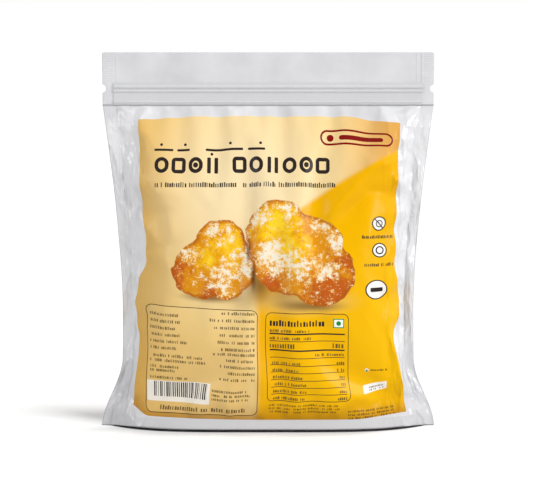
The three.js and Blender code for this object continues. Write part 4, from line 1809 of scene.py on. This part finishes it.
@dataclass(frozen=True)
class Studio:
    """The camera, a white floor that meets a white background, and soft lights."""

    distance: float = 1.105
    height: float = 0.222
    aim: tuple[float, float, float] = (-0.001, 0.0, 0.1156)
    shown_width: float = 0.3272
    sensor: float = 36.0
    floor_size: float = 120.0
    sky_toward: tuple[float, float, float] = (0.68, -0.2, 0.7)
    sky_spread: Span = (-0.1, 0.9)
    sky_low: float = 0.3
    sky_high: float = 1.07
    flag_toward: tuple[float, float, float] = (0.0, -1.0, 0.0)
    flag_spread: Span = (0.55, 0.9)
    flag_light: float = 0.15
    floor_lights: tuple[FloorLight, ...] = (
        FloorLight("floor_right", (0.42, -0.36, 1.6), 3.2, math.radians(12)),
        FloorLight("floor_top", (0.1, 0.1, 1.6), 1.7, math.radians(5)),
    )
    lights: tuple[SoftLight, ...] = (
        SoftLight("key_right", (1.2, -0.9, 0.5), 0.5, 10.8, 1.4),
        SoftLight("overhead", (0.1, -0.45, 1.25), 0.9, 1.8, 0.3),
        SoftLight("fill_left", (-1.1, -0.95, 0.45), 0.4, 6.0, 2.0),
    )

    def build(self, pieces: list[bpy.types.Object]) -> None:
        """Builds the studio round the pieces."""
        self._build_camera()
        lit_floor = collect("lit_floor", [self._build_floor()])
        for light in self.floor_lights:
            light.build(lit_floor)
        self._build_background()
        lit_pouch = collect("lit_pouch", pieces)
        for light in self.lights:
            light.build(lit_pouch)
        bpy.context.scene.view_settings.view_transform = "Standard"

    def _build_camera(self) -> None:
        """Aims a long lens at the middle of the pouch from a little above."""
        data = bpy.data.cameras.new("camera")
        place = (self.aim[0], -self.distance, self.height)
        data.sensor_width = self.sensor
        data.lens = self.sensor * (Vector(self.aim) - Vector(place)).length / self.shown_width
        data.clip_end = self.floor_size
        bpy.context.scene.camera = aim_at("camera", data, place, self.aim)

    def _build_floor(self) -> bpy.types.Object:
        """Lays the floor that the pouch stands on."""
        mesh = bmesh.new()
        bmesh.ops.create_grid(mesh, x_segments=1, y_segments=1, size=self.floor_size / 2)
        floor = place_mesh("floor", mesh)
        floor.data.materials.append(PaperFloor().make())
        return floor

    def _glow(self, tree: bpy.types.NodeTree, toward: tuple, spread: Span, light: Span) -> Socket:
        """The sky's light, which changes softly from one value to the other towards a direction."""
        off = add_node(tree, "ShaderNodeTexCoord", out="Generated")
        off = add_node(tree, VECTOR, off, toward, out="Value", operation="DOT_PRODUCT")
        named = dict(enumerate((*spread, *light), start=1))
        return add_node(tree, RANGE, off, named=named, interpolation_type="SMOOTHSTEP")

    def _build_background(self) -> None:
        """Makes the background white to the eye, and as a light brighter towards the upper right."""
        world = bpy.data.worlds.new("studio")
        world.use_nodes = True
        tree = world.node_tree
        background = next(n for n in tree.nodes if n.type == "BACKGROUND")
        sky = self._glow(tree, self.sky_toward, self.sky_spread, (self.sky_low, self.sky_high))
        # A dark flag in front of the pouch keeps white reflections off its print.
        flag = self._glow(tree, self.flag_toward, self.flag_spread, (1.0, self.flag_light))
        sky = add_node(tree, MATH, sky, flag, operation="MULTIPLY")
        seen = add_node(tree, "ShaderNodeLightPath", out="Is Camera Ray")
        strength = add_node(tree, MATH, sky, seen, operation="MAXIMUM")
        tree.links.new(strength, background.inputs["Strength"])
        background.inputs["Color"].default_value = (1.0, 1.0, 1.0, 1.0)
        bpy.context.scene.world = world


def main() -> None:
    """Builds every piece, dresses it and hands the scene over."""
    logging.basicConfig(level=logging.INFO, format="%(message)s")
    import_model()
    low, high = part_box("pouch")
    form = PouchForm(height=high.z / MM, foot_half=(high.x - low.x) / 2 / MM)
    film = PouchFilm(form).build()
    for plate in Plate:
        name = f"printed_polyester_laminate_{plate.name.lower()}"
        film.data.materials.append(LaminateFilm(name, form, plate).make())
    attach(film, "root")
    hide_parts("pouch")
    log.info("%s: %d faces before it is made finer", film.name, len(film.data.polygons))
    zip_film = LaminateFilm("pearl_polyester_laminate", form, pearl="#d2d2d5").make()
    pieces = [film]
    for face in Face:
        strip = ZipStrip(face, form.film).build()
        pieces.append(strip)
        strip.data.materials.append(zip_film)
        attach(strip, "root")
        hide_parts(f"zip_strip_{face.name.lower()}")
        log.info("%s: %d faces", strip.name, len(strip.data.polygons))
    Studio().build(pieces)


if __name__ == "__main__":
    main()
